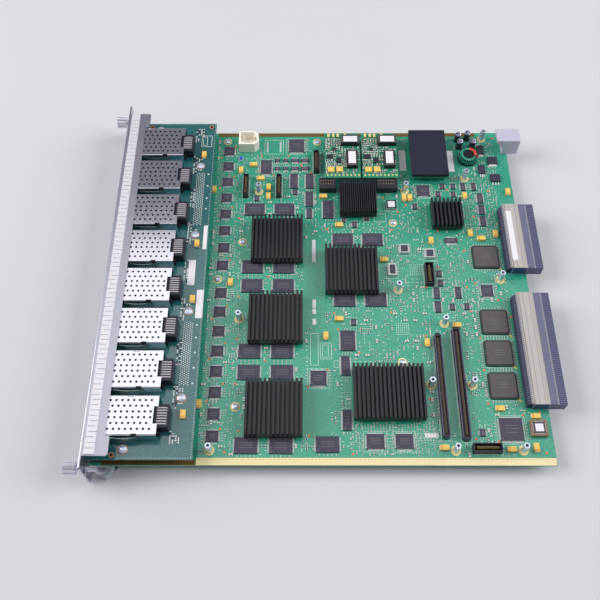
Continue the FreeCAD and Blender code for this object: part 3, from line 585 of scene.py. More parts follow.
class Look:
    """Every finish of the card."""

    BOARD = SolderMask("board_green", (0.14, 0.63, 0.51), 0.42, variation=0.2, scale=60.0,
                       coat=0.6, coat_ior=1.75, trace=(0.36, 0.66, 0.56), via=(0.62, 0.80, 0.72))
    PORT_BOARD = SolderMask("board_teal", (0.04, 0.37, 0.38), 0.4, variation=0.18, scale=60.0,
                            coat=0.9, coat_ior=1.8, trace=(0.12, 0.45, 0.45), via=(0.4, 0.62, 0.6),
                            via_share=0.25)
    MODULE_BOARD = SolderMask("module_board", (0.17, 0.56, 0.42), 0.42, variation=0.2, scale=80.0)
    EDGE_GOLD = Finish("edge_gold", (0.97, 0.91, 0.70), 0.4, variation=0.08, scale=500)
    EDGE_BROWN = Finish("edge_brown", (0.42, 0.34, 0.13), 0.45, variation=0.35, scale=300)
    COPPER = Finish("rim_copper", (0.78, 0.52, 0.36), 0.4, 0.2, 0.15, 500)
    PLATE = Finish("plate_steel", (0.80, 0.80, 0.85), 0.3, 1.0, 0.08, 900, Grain.ALONG_Y)
    CAGE = Finish("cage_nickel", (0.92, 0.92, 0.96), 0.14, 1.0, 0.08, 500, bump=0.00001, slot="cage_nickel")
    # Darker nickel on the crimps: painted shade in their dents.
    CAGE_INSIDE = Finish("cage_inside", (0.42, 0.42, 0.46), 0.5, 1.0, 0.2, 300, slot="cage_nickel")
    CAGE_SPRING = Finish("cage_spring", (0.70, 0.76, 0.76), 0.3, 1.0, 0.2, 400, slot="cage_nickel")
    SPRING = Finish("spring_strip", (0.95, 0.94, 0.96), 0.35, 0.3, 0.08, 500)
    DOOR = Finish("door_steel", (0.66, 0.66, 0.70), 0.35, 1.0, 0.1, 600)
    BRACKET = Finish("bracket_steel", (0.76, 0.76, 0.79), 0.34, 1.0, 0.1, 600)
    KNOB = Finish("knob_nickel", (0.93, 0.93, 0.97), 0.3, 0.7, 0.06, 700, Grain.ALONG_X)
    LEVER = Finish("lever_zinc", (0.72, 0.76, 0.77), 0.45, 0.3, 0.12, 400)
    SINK = Finish("sink_anodised", (0.105, 0.095, 0.145), 0.4, 0.0, 0.2, 700, Grain.ALONG_Y, coat=0.3)
    CHIP = Finish("package_resin", (0.28, 0.27, 0.33), 0.6, variation=0.14, scale=900, slot="package_grey")
    CHIP_PRINT = Finish("package_marks", (0.50, 0.49, 0.52), 0.6, variation=0.25, scale=1500)
    CHIP_DARK = Finish("array_package", (0.20, 0.21, 0.20), 0.55, variation=0.14, scale=700,
                       slot="package_grey")
    CHIP_LID = Finish("array_lid", (0.36, 0.34, 0.35), 0.6, variation=0.1, scale=900, slot="package_grey")
    BLACK = Finish("connector_black", (0.17, 0.16, 0.21), 0.45, variation=0.2, scale=500,
                   slot="connector_black")
    CORE = Finish("connector_core", (0.31, 0.25, 0.16), 0.55, variation=0.25, scale=700)
    TIN = Finish("lead_tin", (0.90, 0.92, 0.91), 0.4, 0.2, 0.1, 800, slot="contact_tin")
    COMB = Finish("contact_comb", (0.74, 0.72, 0.74), 0.4, 0.2, 0.12, 600, slot="contact_tin")
    PIN_GOLD = Finish("pin_gold", (0.90, 0.77, 0.45), 0.3, 0.8, 0.12, 800)
    PAD_CREAM = Finish("pad_cream", (0.97, 0.89, 0.62), 0.4, 0.1, 0.1, 500)
    PRINT = Finish("white_print", (0.86, 0.95, 0.90), 0.6, variation=0.1, scale=700)
    LABEL = Finish("paper_label", (0.96, 0.95, 0.97), 0.7, variation=0.05, scale=500)
    LABEL_PRINT = Finish("label_print", (0.74, 0.73, 0.78), 0.7, variation=0.2, scale=900)
    TEST_DOT = Finish("test_dot", (0.96, 0.50, 0.24), 0.5, variation=0.12, scale=500)
    POST = Finish("post_nickel", (0.90, 0.93, 0.99), 0.25, 0.65, 0.08, 500, slot="post_nickel")
    # Near-black painted shade for holes, bores, notches and the sheet under the cage roofs; it is also the
    # pegs' own dark colour beside the port sockets.
    HOLE = Finish("dark_bore", (0.07, 0.07, 0.10), 0.6, 0.2, 0.2, 500)
    OSCILLATOR = Finish("oscillator_can", (0.88, 0.88, 0.88), 0.3, 0.9, 0.1, 600, slot="oscillator_can")
    TANTALUM = Finish("tantalum_yellow", (1.0, 0.83, 0.42), 0.5, variation=0.08, scale=700,
                      slot="tantalum_yellow")
    TANTALUM_END = Finish("tantalum_band", (0.90, 0.66, 0.30), 0.5, variation=0.1, scale=700)
    CERAMIC = Finish("ceramic_tan", (0.74, 0.70, 0.64), 0.5, variation=0.2, scale=900)
    RESISTOR = Finish("resistor_slate", (0.20, 0.20, 0.25), 0.5, variation=0.2, scale=900)
    CAN = Finish("can_aluminium", (0.84, 0.82, 0.92), 0.28, 0.9, 0.08, 500, slot="can_aluminium")
    CAN_SLEEVE = Finish("can_sleeve", (0.17, 0.13, 0.22), 0.35, 0.2, 0.15, 600, coat=0.3)
    WIRE = Finish("choke_wire", (0.07, 0.66, 0.54), 0.32, 0.1, 0.25, 260, coat=0.5, slot="choke_green")
    WIRE_END = Finish("choke_wire_red", (0.92, 0.30, 0.18), 0.32, 0.1, 0.2, 260, coat=0.5,
                      slot="choke_green")
    TRANSISTOR = Finish("transistor_resin", (0.22, 0.20, 0.27), 0.55, variation=0.15, scale=800)
    COIL = Finish("coil_core", (0.13, 0.13, 0.16), 0.5, variation=0.2, scale=500, slot="coil_black")
    BRICK = Finish("brick_plate", (0.13, 0.14, 0.22), 0.5, 0.1, 0.14, 300)
    BRICK_BOARD = Finish("brick_board", (0.09, 0.10, 0.16), 0.5, variation=0.2, scale=400)
    NYLON = Finish("nylon_white", (1.0, 0.98, 0.93), 0.5, variation=0.04, scale=300)
    SOCKET_BROWN = Finish("socket_brown", (0.56, 0.47, 0.38), 0.55, variation=0.15, scale=500,
                          slot="socket_brown")
    BEIGE = Finish("backplane_beige", (0.76, 0.74, 0.72), 0.5, variation=0.06, scale=200,
                   slot="backplane_beige")
    SLATE = Finish("backplane_slate", (0.38, 0.39, 0.52), 0.5, variation=0.12, scale=300)
    SLATE_PALE = Finish("backplane_step", (0.43, 0.44, 0.54), 0.5, variation=0.1, scale=300,
                        slot="backplane_slate")
    TRACE = Finish("bare_trace", (0.40, 0.62, 0.47), 0.5, variation=0.1, scale=300)
    SLATE_DARK = Finish("backplane_groove", (0.22, 0.22, 0.33), 0.55, variation=0.1, scale=300,
                        slot="backplane_slate")
    NAVY = Finish("backplane_navy", (0.22, 0.27, 0.48), 0.45, variation=0.12, scale=300,
                  slot="backplane_slate")
    GUIDE = Finish("guide_grey", (0.79, 0.78, 0.85), 0.45, variation=0.05, scale=200)
    LIGHT_PIPE = Finish("light_pipe", (0.86, 0.92, 0.86), 0.2, variation=0.05, scale=300, coat=1.0)
    BLUE = Finish("trimmer_blue", (0.16, 0.38, 0.85), 0.4, variation=0.1, scale=500)
    FLOOR = Finish("studio_floor", (0.86, 0.86, 0.87), 0.8, variation=0.02, scale=6.0, bump=0.0001)


# ------------------------------------------------------------------ pieces
@dataclass
class Bench:
    """Turns shapes into named pieces that ride on the card's bodies."""

    card: Card

    def piece(self, name: str, shape: Shape, finish: Finish, body: str = "card",
              replaces: Sequence[str] = (), smooth: bool = False) -> Any:
        """Makes one piece.

        Args:
            name: the piece's name.
            shape: its surface, in the card frame.
            finish: its material.
            body: the body that carries it.
            replaces: CAD nodes that it stands for.
            smooth: shades its faces smoothly, apart from sharp edges.

        Returns:
            The Blender object.
        """
        mesh = bpy.data.meshes.new(name)
        faces = shape.quads.tolist() + shape.tris.tolist()
        mesh.from_pydata(self.card.metres(shape.points).tolist(), [], faces)
        if smooth:
            mesh.polygons.foreach_set("use_smooth", np.ones(len(faces), bool))
            mesh.set_sharp_from_angle(angle=math.radians(40))
        mesh.materials.append(finish.material())
        mesh.update()
        thing = bpy.data.objects.new(name, mesh)
        bpy.context.scene.collection.objects.link(thing)
        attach(thing, body)
        if replaces:
            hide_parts(*replaces)
        LOG.info("%s: %d faces", name, len(faces))
        return thing

    def paint(self, finish: Finish, *nodes: str) -> None:
        """Gives CAD nodes a finish."""
        for node in nodes:
            mesh = self.card.nodes[node].data
            mesh.materials.clear()
            mesh.materials.append(finish.material())


@dataclass
class Assembly:
    """A group of pieces dressed on one bench."""

    bench: Bench

    @property
    def card(self) -> Card:
        """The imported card."""
        return self.bench.card


# ------------------------------------------------------------------ repeated forms
def slabs(boxes: Array | Sequence[Any]) -> Shape:
    """Flat-sided solids that fill a K x 2 x 3 array of boxes."""
    boxes = np.asarray(boxes, float).reshape(-1, 2, 3)
    middle = boxes.mean(axis=1)
    middle[:, 2] = boxes[:, 0, 2]
    return block(1.0, 1.0, 1.0).scattered(middle, 0.0, boxes[:, 1] - boxes[:, 0])


def spans(*ranges: tuple[Any, Any]) -> Array:
    """Boxes from their ranges along x, y and z.

    Args:
        ranges: a low and a high end for each axis, one number or one for each box.

    Returns:
        A K x 2 x 3 array of boxes.
    """
    ends = np.broadcast_arrays(*(np.asarray(end, float) for pair in ranges for end in pair))
    return np.stack(ends, axis=-1).reshape(-1, 3, 2).transpose(0, 2, 1)


def part_of(box: Array, axis: int, ends: Sequence[float], inset: float,
            heights: tuple[float, float]) -> Array:
    """Part of a box, as a box.

    Args:
        box: low and high corner.
        axis: the box's long axis, 0 for x or 1 for y.
        ends: the part's two ends on that axis.
        inset: how far the part is drawn in on the other axis.
        heights: bottom and top.

    Returns:
        The part's low and high corner.
    """
    part = np.array(box, float)
    part[:, axis] = sorted(ends)
    part[:, 1 - axis] += (inset, -inset)
    part[:, 2] = heights
    return part


def grown(boxes: Array, margin: float) -> Array:
    """Boxes made larger by a margin in x and y."""
    return boxes + np.array([[-margin, -margin, 0.0], [margin, margin, 0.0]])


def film(boxes: Array, low: float, thickness: float) -> Array:
    """The same boxes as thin films that start at one height."""
    flat = np.array(boxes, float).reshape(-1, 2, 3)
    flat[:, 0, 2], flat[:, 1, 2] = low, low + thickness
    return flat


def frames(boxes: Array, width: float, low: float, thickness: float) -> Shape:
    """Printed frames: four bars inside the edges of each box.

    Args:
        boxes: K x 2 x 3 boxes, of which only x and y count.
        width: width of a bar.
        low: height of the print's foot.
        thickness: its thickness.

    Returns:
        The frames as one shape.
    """
    flat = film(boxes, low, thickness)
    sides = []
    for axis in (0, 1):
        for end, sign in ((0, 1), (1, -1)):
            bar = flat.copy()
            bar[:, 1 - end, axis] = flat[:, end, axis] + sign * width
            sides.append(bar)
    return slabs(np.concatenate(sides))


def spots(places: Array, radius: float, low: float, thickness: float, count: int = 10) -> Shape:
    """Flat round discs at K x 2 places."""
    places = np.asarray(places, float).reshape(-1, 2)
    disc = Shape.loft(stack([(circle(radius, count), 0.0), (circle(radius, count), thickness)]))
    return disc.scattered(raised(places, low))


def washers(places: Array, inner: float, outer: float, low: float, thickness: float,
            count: int = 20) -> Shape:
    """Flat rings: a square profile turned about each place and closed on itself.

    Args:
        places: K x 2 middles.
        inner: radius of the hole.
        outer: radius of the ring.
        low: height of its foot.
        thickness: its thickness.
        count: points round it.

    Returns:
        The rings as one shape.
    """
    places = np.asarray(places, float).reshape(-1, 2)
    ring = turned([(inner, 0.0), (outer, 0.0), (outer, thickness), (inner, thickness), (inner, 0.0)], count)
    return ring.scattered(raised(places, low))


def spread(low: float, high: float, count: int) -> Array:
    """Middles of equal steps between two ends."""
    return low + (high - low) * (np.arange(count) + 0.5) / count


# ------------------------------------------------------------------ boards
@dataclass
class Boards(Assembly):
    """The two boards: mask, edge copper, pads and white print."""

    film: float = 0.08
    near_strip: float = 6.3
    far_strip: float = 4.8
    test_dot: float = 1.05
    screw_rim: float = 4.4
    screw_pad: float = 4.3
    stitch_pitch: float = 2.1
    port_pitch: float = 41.5
    first_port: float = 16.2
    via_areas: tuple[tuple[float, float], ...] = ((65.4, 125.0), (231.5, 293.0))  # ranges along y
    label_area: tuple[float, float] = (164.0, 191.0)
    trimmer_place: tuple[float, float] = (114.2, 323.8)

    def build(self) -> None:
        """Dresses both boards."""
        self.bench.paint(Look.BOARD, "main_board")
        self.bench.paint(Look.PORT_BOARD, "port_board")
        board, port = self.card.box("main_board"), self.card.box("port_board")
        self.strips(board, port)
        self.print_marks()
        self.traces_and_codes()
        self.test_points()
        self.board_screws()
        self.port_board_marks(port)
        self.trimmer()

    def strips(self, board: Array, port: Array) -> None:
        """Bare copper along the two long edges, where the card guides run."""
        start, rear, far = port[1, 0] + 1.0, board[1, 0] - 0.4, board[1, 1]
        near = film([[(start, 0.0, 0), (rear, self.near_strip, 0)]], 0.0, self.film)
        shaded = film([[(port[0, 0] + 9.0, 0.0, 0), (start - 0.4, self.near_strip - 1.6, 0)],
                       [(start, far - self.far_strip, 0), (rear - 30.0, far - 0.1, 0)]], 0.0, self.film)
        self.bench.piece("guide_strip_near", slabs(near), Look.EDGE_GOLD)
        self.bench.piece("guide_strip_shaded", slabs(shaded), Look.EDGE_BROWN)
        # Dark dots for the small holes along the shaded stretch: painted shade.
        x = np.arange(port[0, 0] + 11.0, start - 2.0, 2.4)
        dark = np.column_stack([x, np.full_like(x, self.near_strip / 2 - 0.8)])
        self.bench.piece("guide_strip_dots", spots(dark, 0.4, self.film, 0.05, 6), Look.HOLE)
        x = np.arange(start + 3.0, rear - 2.0, 3.1)
        pale = np.column_stack([x, np.full_like(x, self.near_strip - 1.4)])
        self.bench.piece("guide_strip_vias", spots(pale, 0.28, self.film, 0.03, 6), Look.EDGE_BROWN)

    def print_marks(self) -> None:
        """White outlines round the chips and connectors, bars, empty footprints and paper labels."""
        margins = (("oscillators", 2.2), ("quad_flat_chips", 2.6), ("test_headers", 1.1),
                   ("daughter_sockets", 0.9), ("bga_chips", 1.0))
        rings = [frames(grown(self.card.solids(node), margin), 0.28, 0.0, self.film)
                 for node, margin in margins]
        empty = [[(138.0, 330.0, 0), (157.5, 349.0, 0)], [(184.4, 90.3, 0), (191.6, 122.1, 0)],
                 [(193.1, 96.4, 0), (203.5, 112.3, 0)], [(195.0, 98.2, 0), (200.6, 110.5, 0)],
                 [(247.5, 244.3, 0), (259.2, 254.1, 0)], [(205.0, 88.0, 0), (210.0, 95.0, 0)]]
        bars = film([[(186.5, 131, 0), (189.8, 137, 0)], [(186.5, 142, 0), (189.8, 147.5, 0)],
                     [(186.5, 148.5, 0), (189.8, 157, 0)], [(186.5, 198, 0), (189.8, 223.5, 0)],
                     [(280.3, 24.0, 0), (291.8, 27.9, 0)]], 0.0, self.film)
        self.bench.piece("white_print", Shape.join([*rings, frames(empty, 0.35, 0.0, self.film)]), Look.PRINT)
        self.bench.piece("white_bars", slabs(bars), Look.LABEL)
        x = np.repeat([141.0, 154.5], 14)
        y = np.tile(spread(332.5, 346.5, 14), 2)
        pads = spans((x - 1.0, x + 1.0), (y - 0.36, y + 0.36), (0.0, self.film))
        self.bench.piece("empty_pads", slabs(pads), Look.TIN)
        labels = film([[(276.5, 308, 0), (283, 335, 0)], [(325.5, 307, 0), (332, 334, 0)]], 0.0, self.film)
        self.bench.piece("board_labels", slabs(labels), Look.LABEL)

    def traces_and_codes(self) -> None:
        """Grids of vias, bare traces and the plain bars on the two labels."""
        codes = [[(x0 + 2.4, y, 0), (x0 + 4.0, y + 0.3, 0)] for x0 in (276.5, 325.5)
                 for y in np.arange(310.5, 332.0, 2.6)]
        runs = [[(x, y0, 0), (x + 0.45, y1, 0)] for low, high, y0, y1 in
                ((180.0, 199.0, 27.0, 66.0), (179.5, 196.0, 160.0, 196.0), (303.0, 310.0, 30.0, 118.0),
                 (94.0, 99.0, 20.0, 60.0)) for x in np.arange(low, high, 2.0)]
        grids = []
        for x0, y0 in ((262.5, 121.0), (279.0, 184.0)):
            x, y = np.meshgrid(x0 + np.arange(7) * 1.8, y0 + np.arange(7) * 1.8)
            grids.append(np.column_stack([x.ravel(), y.ravel()]))
        self.bench.piece("via_grids", spots(np.concatenate(grids), 0.42, 0.0, self.film, 6), Look.PRINT)
        self.bench.piece("bare_traces", slabs(film(runs, 0.0, 0.04)), Look.TRACE)
        self.bench.piece("label_codes", slabs(film(codes, self.film, 0.03)), Look.LABEL_PRINT)

    def test_points(self) -> None:
        """Round copper test points spread over the main board."""
        places = np.array([
            (95, 56), (108, 72.5), (119, 72.7), (108, 31.5), (123.5, 29.8), (112.5, 11), (172, 26.5),
            (183, 25.5), (182.5, 69.5), (199.5, 86), (118, 160.5), (108, 150), (95, 137), (118.5, 117),
            (108, 112), (95, 97), (144.5, 95), (145.5, 182), (108, 262), (115, 249.5), (94, 246),
            (108, 200.5), (144.5, 268.5), (158.5, 275.5), (91, 348.5), (108, 340), (94, 325.5), (108, 301),
            (94, 286.5), (135.5, 328), (163, 328), (182, 348.5), (176, 315), (148, 301.8), (186, 305.8),
            (206.5, 142.8), (209.5, 126), (230, 126.7), (228, 102.3), (258.5, 143.8), (288.5, 119.5),
            (292.5, 170), (287, 58.7), (219.5, 9.5), (201.5, 235.8), (264, 234.8), (271.5, 256.5),
            (257.5, 274), (279.5, 264.7), (305.5, 192), (331.5, 210.3), (308.5, 233.5), (345.5, 250.5),
            (367, 242), (336.8, 86), (336.8, 54.5), (365, 43.7), (379.5, 46), (342, 20.5), (323, 22.7),
            (380, 10.5), (315.5, 155.2), (330, 170.3), (338.5, 174.3), (331.5, 144.8), (357.5, 156.3),
            (367.5, 139), (337, 117.5), (322.5, 283.5), (363, 282), (375.5, 351)], float)
        self.bench.piece("test_points", spots(places, self.test_dot, 0.0, self.film), Look.TEST_DOT)

    def board_screws(self) -> None:
        """Pan-head screws on cream ring pads, which hold the main board."""
        places = np.array(BOARD_SCREWS)
        pads = washers(places, 2.0, self.screw_pad, 0.0, self.film, 24)
        self.bench.piece("board_screw_pads", pads, Look.PAD_CREAM)
        head = turned([(0, 0), (3.2, 0), (3.2, 0.5), (2.7, 1.4), (1.3, 1.9), (1.0, 0.9), (0, 0.9)], 24)
        heads = head.scattered(raised(places, 0.05))
        self.bench.piece("board_screws", heads, Look.POST, smooth=True)

    def port_board_marks(self, port: Array) -> None:
        """Stitching dots along the port board's edges, its screws, vias, print and labels."""
        top, near, far, rear = port[1, 2], port[0, 1], port[1, 1], port[1, 0]
        edge_x = np.arange(26.0, rear - 1.0, self.stitch_pitch)
        rows = [np.column_stack([edge_x, np.full_like(edge_x, y)]) for y in (near + 1.2, far - 1.2)]
        edge_y = np.arange(near + 2.0, far - 1.0, self.stitch_pitch)
        rows.append(np.column_stack([np.full_like(edge_y, rear - 1.2), edge_y]))
        self.bench.piece("stitch_dots", spots(np.concatenate(rows), 0.33, top, self.film, 6), Look.PRINT)
        screws = np.array([(31.3, near + 8.4)] + [(75.6, 53.4 + 83.0 * i) for i in range(4)]
                          + [(31.3, far - 8.4)])
        bores = np.array([(22.5, near + 3.7), (22.5, far - 4.6), (83.5, far - 4.6)])
        rims = Shape.join([washers(screws, 3.2, self.screw_rim, top, self.film),
                           washers(bores, 1.3, 2.3, top, self.film)])
        self.bench.piece("port_board_copper", rims, Look.COPPER)
        # The bores inside the copper rims are dark discs of painted shade.
        self.bench.piece("port_board_bores", spots(bores, 1.3, top, self.film, 14), Look.HOLE)
        head = turned([(0, 0), (3.9, 0), (3.9, 0.4), (3.3, 1.3), (1.5, 1.7), (1.2, 0.7), (0, 0.7)], 24)
        self.bench.piece("port_board_screws", head.scattered(raised(screws, top + 0.05)),
                         Look.POST, smooth=True)
        arrays = []
        for low, high in self.via_areas:
            x, y = np.meshgrid(np.arange(72.9, 80.5, 1.75), np.arange(low, high, 2.1))
            arrays.append(np.stack([x, y + (np.arange(x.shape[1]) % 2) * 1.05], axis=-1).reshape(-1, 2))
        self.bench.piece("port_board_vias", spots(np.concatenate(arrays), 0.55, top, self.film, 8), Look.TIN)
        marks = np.array([[(83.2, y, 0.0), (84.6, y + 1.6, 0.0)] for y in
                          (291.4, 276.8, 261.8, 249.0, 66.0, 80.5, 95.0, 109.5, 122.0)])
        boxes = np.array([[(74.6, 327.3, 0.0), (85.0, 342.1, 0.0)], [(76.0, 329.0, 0.0), (80.5, 340.5, 0.0)]])
        self.bench.piece("port_board_print", Shape.join([slabs(film(marks, top, self.film)),
                                                         frames(boxes, 0.5, top, self.film)]), Look.PRINT)
        labels = [[(81.6, 129.7, 0), (88.0, 159.0, 0)], [(72.0, 164.0, 0), (78.5, 191.0, 0)],
                  [(83.5, 203.0, 0), (87.2, 230.0, 0)]]
        self.bench.piece("port_board_labels", slabs(film(labels, top, self.film)), Look.LABEL)
        self.port_board_parts(port, screws)

    def port_board_parts(self, port: Array, screws: Array) -> None:
        """Small parts in rows behind the cages, clear of the screws, vias and labels."""
        top, near, far = port[1, 2], port[0, 1], port[1, 1]
        rng = np.random.default_rng(3)
        x, y = np.meshgrid(np.arange(68.9, 76.5, 2.4), np.arange(near + 14.0, far - 8.0, 1.9))
        places = np.column_stack([x.ravel(), y.ravel()])
        pitch = (y.ravel() - self.first_port) % self.port_pitch
        beside = ((pitch < 9.0) | (pitch > 26.5)) & ((x.ravel() < 72.0) | (pitch < 5.0) | (pitch > 31.0))
        for low, high in (*self.via_areas, self.label_area):
            beside &= (x.ravel() < 71.5) | (y.ravel() < low - 1.5) | (y.ravel() > high + 1.5)
        clear = np.linalg.norm(places[:, None] - screws[None], axis=2).min(axis=1) > 5.2
        chosen = places[beside & clear & (rng.random(len(places)) < 0.8)]
        at = raised(chosen, top)
        split = rng.random(len(at)) < 0.7
        turns = np.where(rng.random(len(at)) < 0.5, 0.0, np.pi / 2)
        self.bench.piece("port_board_parts", block(1.7, 0.95, 0.5).scattered(at[split], turns[split]),
                         Look.TIN)
        self.bench.piece("port_board_chips", block(1.7, 1.05, 0.5).scattered(at[~split], turns[~split]),
                         Look.RESISTOR)

    def trimmer(self) -> None:
        """Square trimmer on its tin base, on the main board behind the port board."""
        base = block(4.2, 4.2, 0.4).moved((*self.trimmer_place, 0.0))
        self.bench.piece("trimmer_base", base, Look.TIN)
        self.bench.piece("trimmer", block(3.0, 3.0, 1.8, 0.3).moved((*self.trimmer_place, 0.38)), Look.BLUE)


# ------------------------------------------------------------------ small parts
class Footprint(Enum):
    """Sizes of the small soldered parts: length, width and height."""

    SMALL = (1.2, 0.7, 0.45)
    MIDDLE = (1.8, 1.0, 0.65)
    LARGE = (3.0, 1.7, 0.95)


@dataclass
class Ground:
    """The board's cells: a part stands only where no cell under it is taken, and then takes them."""

    board: Array
    cell: float = 0.5
    margin: float = 0.7

    def __post_init__(self) -> None:
        """Starts with every cell free."""
        self.origin = self.board[0, :2]
        size = np.ceil((self.board[1, :2] - self.origin) / self.cell).astype(int) + 1
        self.grid = np.zeros(size, bool)

    def cells(self, low: Array, high: Array) -> tuple[Array, Array]:
        """First and last-plus-one cells under boxes from low to high."""
        limit = np.array(self.grid.shape)
        first = np.clip(np.floor((low - self.origin) / self.cell + 1e-6).astype(int), 0, limit - 1)
        last = np.clip(np.ceil((high - self.origin) / self.cell - 1e-6).astype(int), 1, limit)
        return first, last

    def take(self, boxes: Array) -> None:
        """Takes the cells under the boxes that stand on the board."""
        for low, high in boxes:
            if low[2] < 3.0 and high[2] > 0.2:
                a, b = self.cells(low[:2] - self.margin, high[:2] + self.margin)
                self.grid[a[0]:b[0], a[1]:b[1]] = True

    def stand(self, places: Array, footprint: Footprint) -> Array:
        """Finds the places whose footprint is free, and takes their cells.

        Args:
            places: K x 3 of x, y and turn.
            footprint: size of the parts.

        Returns:
            The free places.
        """
        sums = np.pad(np.cumsum(np.cumsum(self.grid, axis=0), axis=1), ((1, 0), (1, 0)))
        length, width, _ = footprint.value
        across = np.abs(np.sin(places[:, 2])) > 0.5
        half = np.where(across[:, None], [[width / 2, length / 2]], [[length / 2, width / 2]])
        a, b = self.cells(places[:, :2] - half, places[:, :2] + half)
        (x0, y0), (x1, y1) = a.T, b.T
        total = sums[x1, y1] - sums[x0, y1] - sums[x1, y0] + sums[x0, y0]
        found = total == 0
        for first, last in zip(a[found], b[found]):
            self.grid[first[0]:last[0], first[1]:last[1]] = True
        return places[found]


@dataclass
class SmallParts(Assembly):
    """Capacitors and resistors in rows round the chips and over the open board."""

    seed: int = 7
    dense: tuple[tuple[float, float, float, float, float], ...] = (
        (336.0, 372.0, 224.0, 300.0, 0.62), (220.0, 292.0, 10.0, 42.0, 0.75), (95.0, 103.0, 14.0, 330.0, 0.3),
        (112.0, 122.0, 14.0, 330.0, 0.3), (300.0, 330.0, 150.0, 225.0, 0.2),
        (205.0, 300.0, 235.0, 262.0, 0.3),
        (358.0, 376.0, 300.0, 345.0, 0.45), (130.0, 190.0, 296.0, 326.0, 0.3))
    clear: tuple[tuple[tuple[float, float, float], tuple[float, float, float]], ...] = (
        ((137.5, 329.5, 0.0), (158.0, 349.5, 0.0)), ((184.5, 88.5, 0.0), (203.5, 122.0, 0.0)),
        ((180.0, 27.0, 0.0), (199.0, 66.0, 0.0)), ((179.5, 130.0, 0.0), (196.0, 223.0, 0.0)),
        ((276.0, 307.5, 0.0), (283.5, 335.5, 0.0)), ((325.0, 306.5, 0.0), (332.5, 334.5, 0.0)),
        ((302.5, 30.0, 0.0), (311.0, 118.0, 0.0)), ((262.0, 120.5, 0.0), (274.0, 132.5, 0.0)),
        ((278.5, 183.5, 0.0), (290.5, 195.5, 0.0)), ((247.0, 243.8, 0.0), (259.7, 254.6, 0.0)),
        ((204.0, 87.0, 0.0), (211.0, 96.0, 0.0)))

    def build(self) -> None:
        """Places every part."""
        rng = np.random.default_rng(self.seed)
        board = self.card.box("main_board")
        ground = self.ground(board)
        phys, arrays = self.card.solids("phy_chips"), self.card.solids("bga_chips")
        rows = [self.beside(self.card.solids("memory_chips"), 1, 2.0, 5, 3.6),
                self.beside(phys, 0, 3.4, 4, 2.3),
                self.beside(arrays, 0, 2.2, 9, 2.5), self.beside(arrays, 1, 2.2, 9, 2.5),
                self.beside(self.card.solids("quad_flat_chips"), 0, 3.6, 5, 2.8),
                self.beside(self.card.solids("logic_chips"), 1, 1.8, 3, 2.4)]
        self.place("row_capacitors", ground.stand(np.concatenate(rows), Footprint.SMALL), Footprint.SMALL,
                   Look.CERAMIC)
        packed = ground.stand(self.packed(rng, 2.6, 1.9), Footprint.SMALL)
        dark = rng.random(len(packed)) < 0.3
        self.place("packed_capacitors", packed[~dark], Footprint.SMALL, Look.CERAMIC)
        self.place("packed_resistors", packed[dark], Footprint.SMALL, Look.RESISTOR)
        self.place("bulk_capacitors", ground.stand(self.field(board, rng, 9.0, 7.0, 0.22), Footprint.LARGE),
                   Footprint.LARGE, Look.CERAMIC)
        middle = ground.stand(self.field(board, rng, 3.1, 2.3, 0.19), Footprint.MIDDLE)
        split = rng.random(len(middle)) < 0.45
        self.place("board_capacitors", middle[split], Footprint.MIDDLE, Look.CERAMIC)
        self.place("board_resistors", middle[~split], Footprint.MIDDLE, Look.RESISTOR)
        ticks = ground.stand(self.field(board, rng, 4.3, 3.7, 0.34), Footprint.MIDDLE)
        at = raised(ticks[:, :2], 0.01)
        self.bench.piece("print_ticks", block(1.9, 0.5, 0.05).scattered(at, ticks[:, 2]), Look.PRINT)

    def ground(self, board: Array) -> Ground:
        """The board's cells with those under other pieces taken."""
        ground = Ground(board)
        skipped = {"main_board", "faceplate", "emi_gasket", "guide_block"}
        for node in self.card.nodes:
            if node not in skipped and not node.startswith(("lower_port", "upper_port")):
                ground.take(self.card.solids(node))
        ground.take(film(self.clear, 0.0, 0.5))
        ground.take(np.array([[(x - 4.0, y - 4.0, 0.0), (x + 4.0, y + 4.0, 0.5)] for x, y in BOARD_SCREWS]))
        return ground

    def beside(self, boxes: Array, axis: int, gap: float, count: int, step: float) -> Array:
        """Rows on both sides of each box: K x 3 of x, y and turn.

        Args:
            boxes: what the rows stand beside.
            axis: 0 for rows at the x sides, 1 for rows at the y sides.
            gap: from the box to the middle of the row.
            count: parts in a row.
            step: from one part to the next.

        Returns:
            Places and turns.
        """
        along = centred(count, step)
        middle = boxes.mean(axis=1)
        sides = np.stack([boxes[:, 0, axis] - gap, boxes[:, 1, axis] + gap], axis=1)
        places = np.empty((len(boxes), 2, count, 3))
        places[..., axis] = sides[:, :, None]
        places[..., 1 - axis] = middle[:, None, None, 1 - axis] + along
        places[..., 2] = np.pi / 2 * axis
        return places.reshape(-1, 3)

    def field(self, board: Array, rng: Any, step_x: float, step_y: float, share: float) -> Array:
        """Patchy rows over the board behind the port board.

        Args:
            board: the board's box.
            rng: source of chance.
            step_x: lattice step along x.
            step_y: lattice step along y.
            share: about which share of the places is kept.

        Returns:
            Places and turns of a lattice thinned by a slow random field.
        """
        front = self.card.box("port_board")[1, 0] + 2.5
        x, y = np.meshgrid(np.arange(front, board[1, 0] - 16.0, step_x),
                           np.arange(9.0, board[1, 1] - 8.0, step_y), indexing="ij")
        patch = rng.random((24, 24))
        column = ((x / 15.0).astype(int)) % 24
        row = ((y / 12.0).astype(int)) % 24
        keep = rng.random(x.shape) < share * 2.2 * patch[column, row] ** 1.6
        turn = np.where(patch[row, column] > 0.5, 0.0, np.pi / 2)
        return np.stack([x[keep], y[keep], turn[keep]], axis=1)

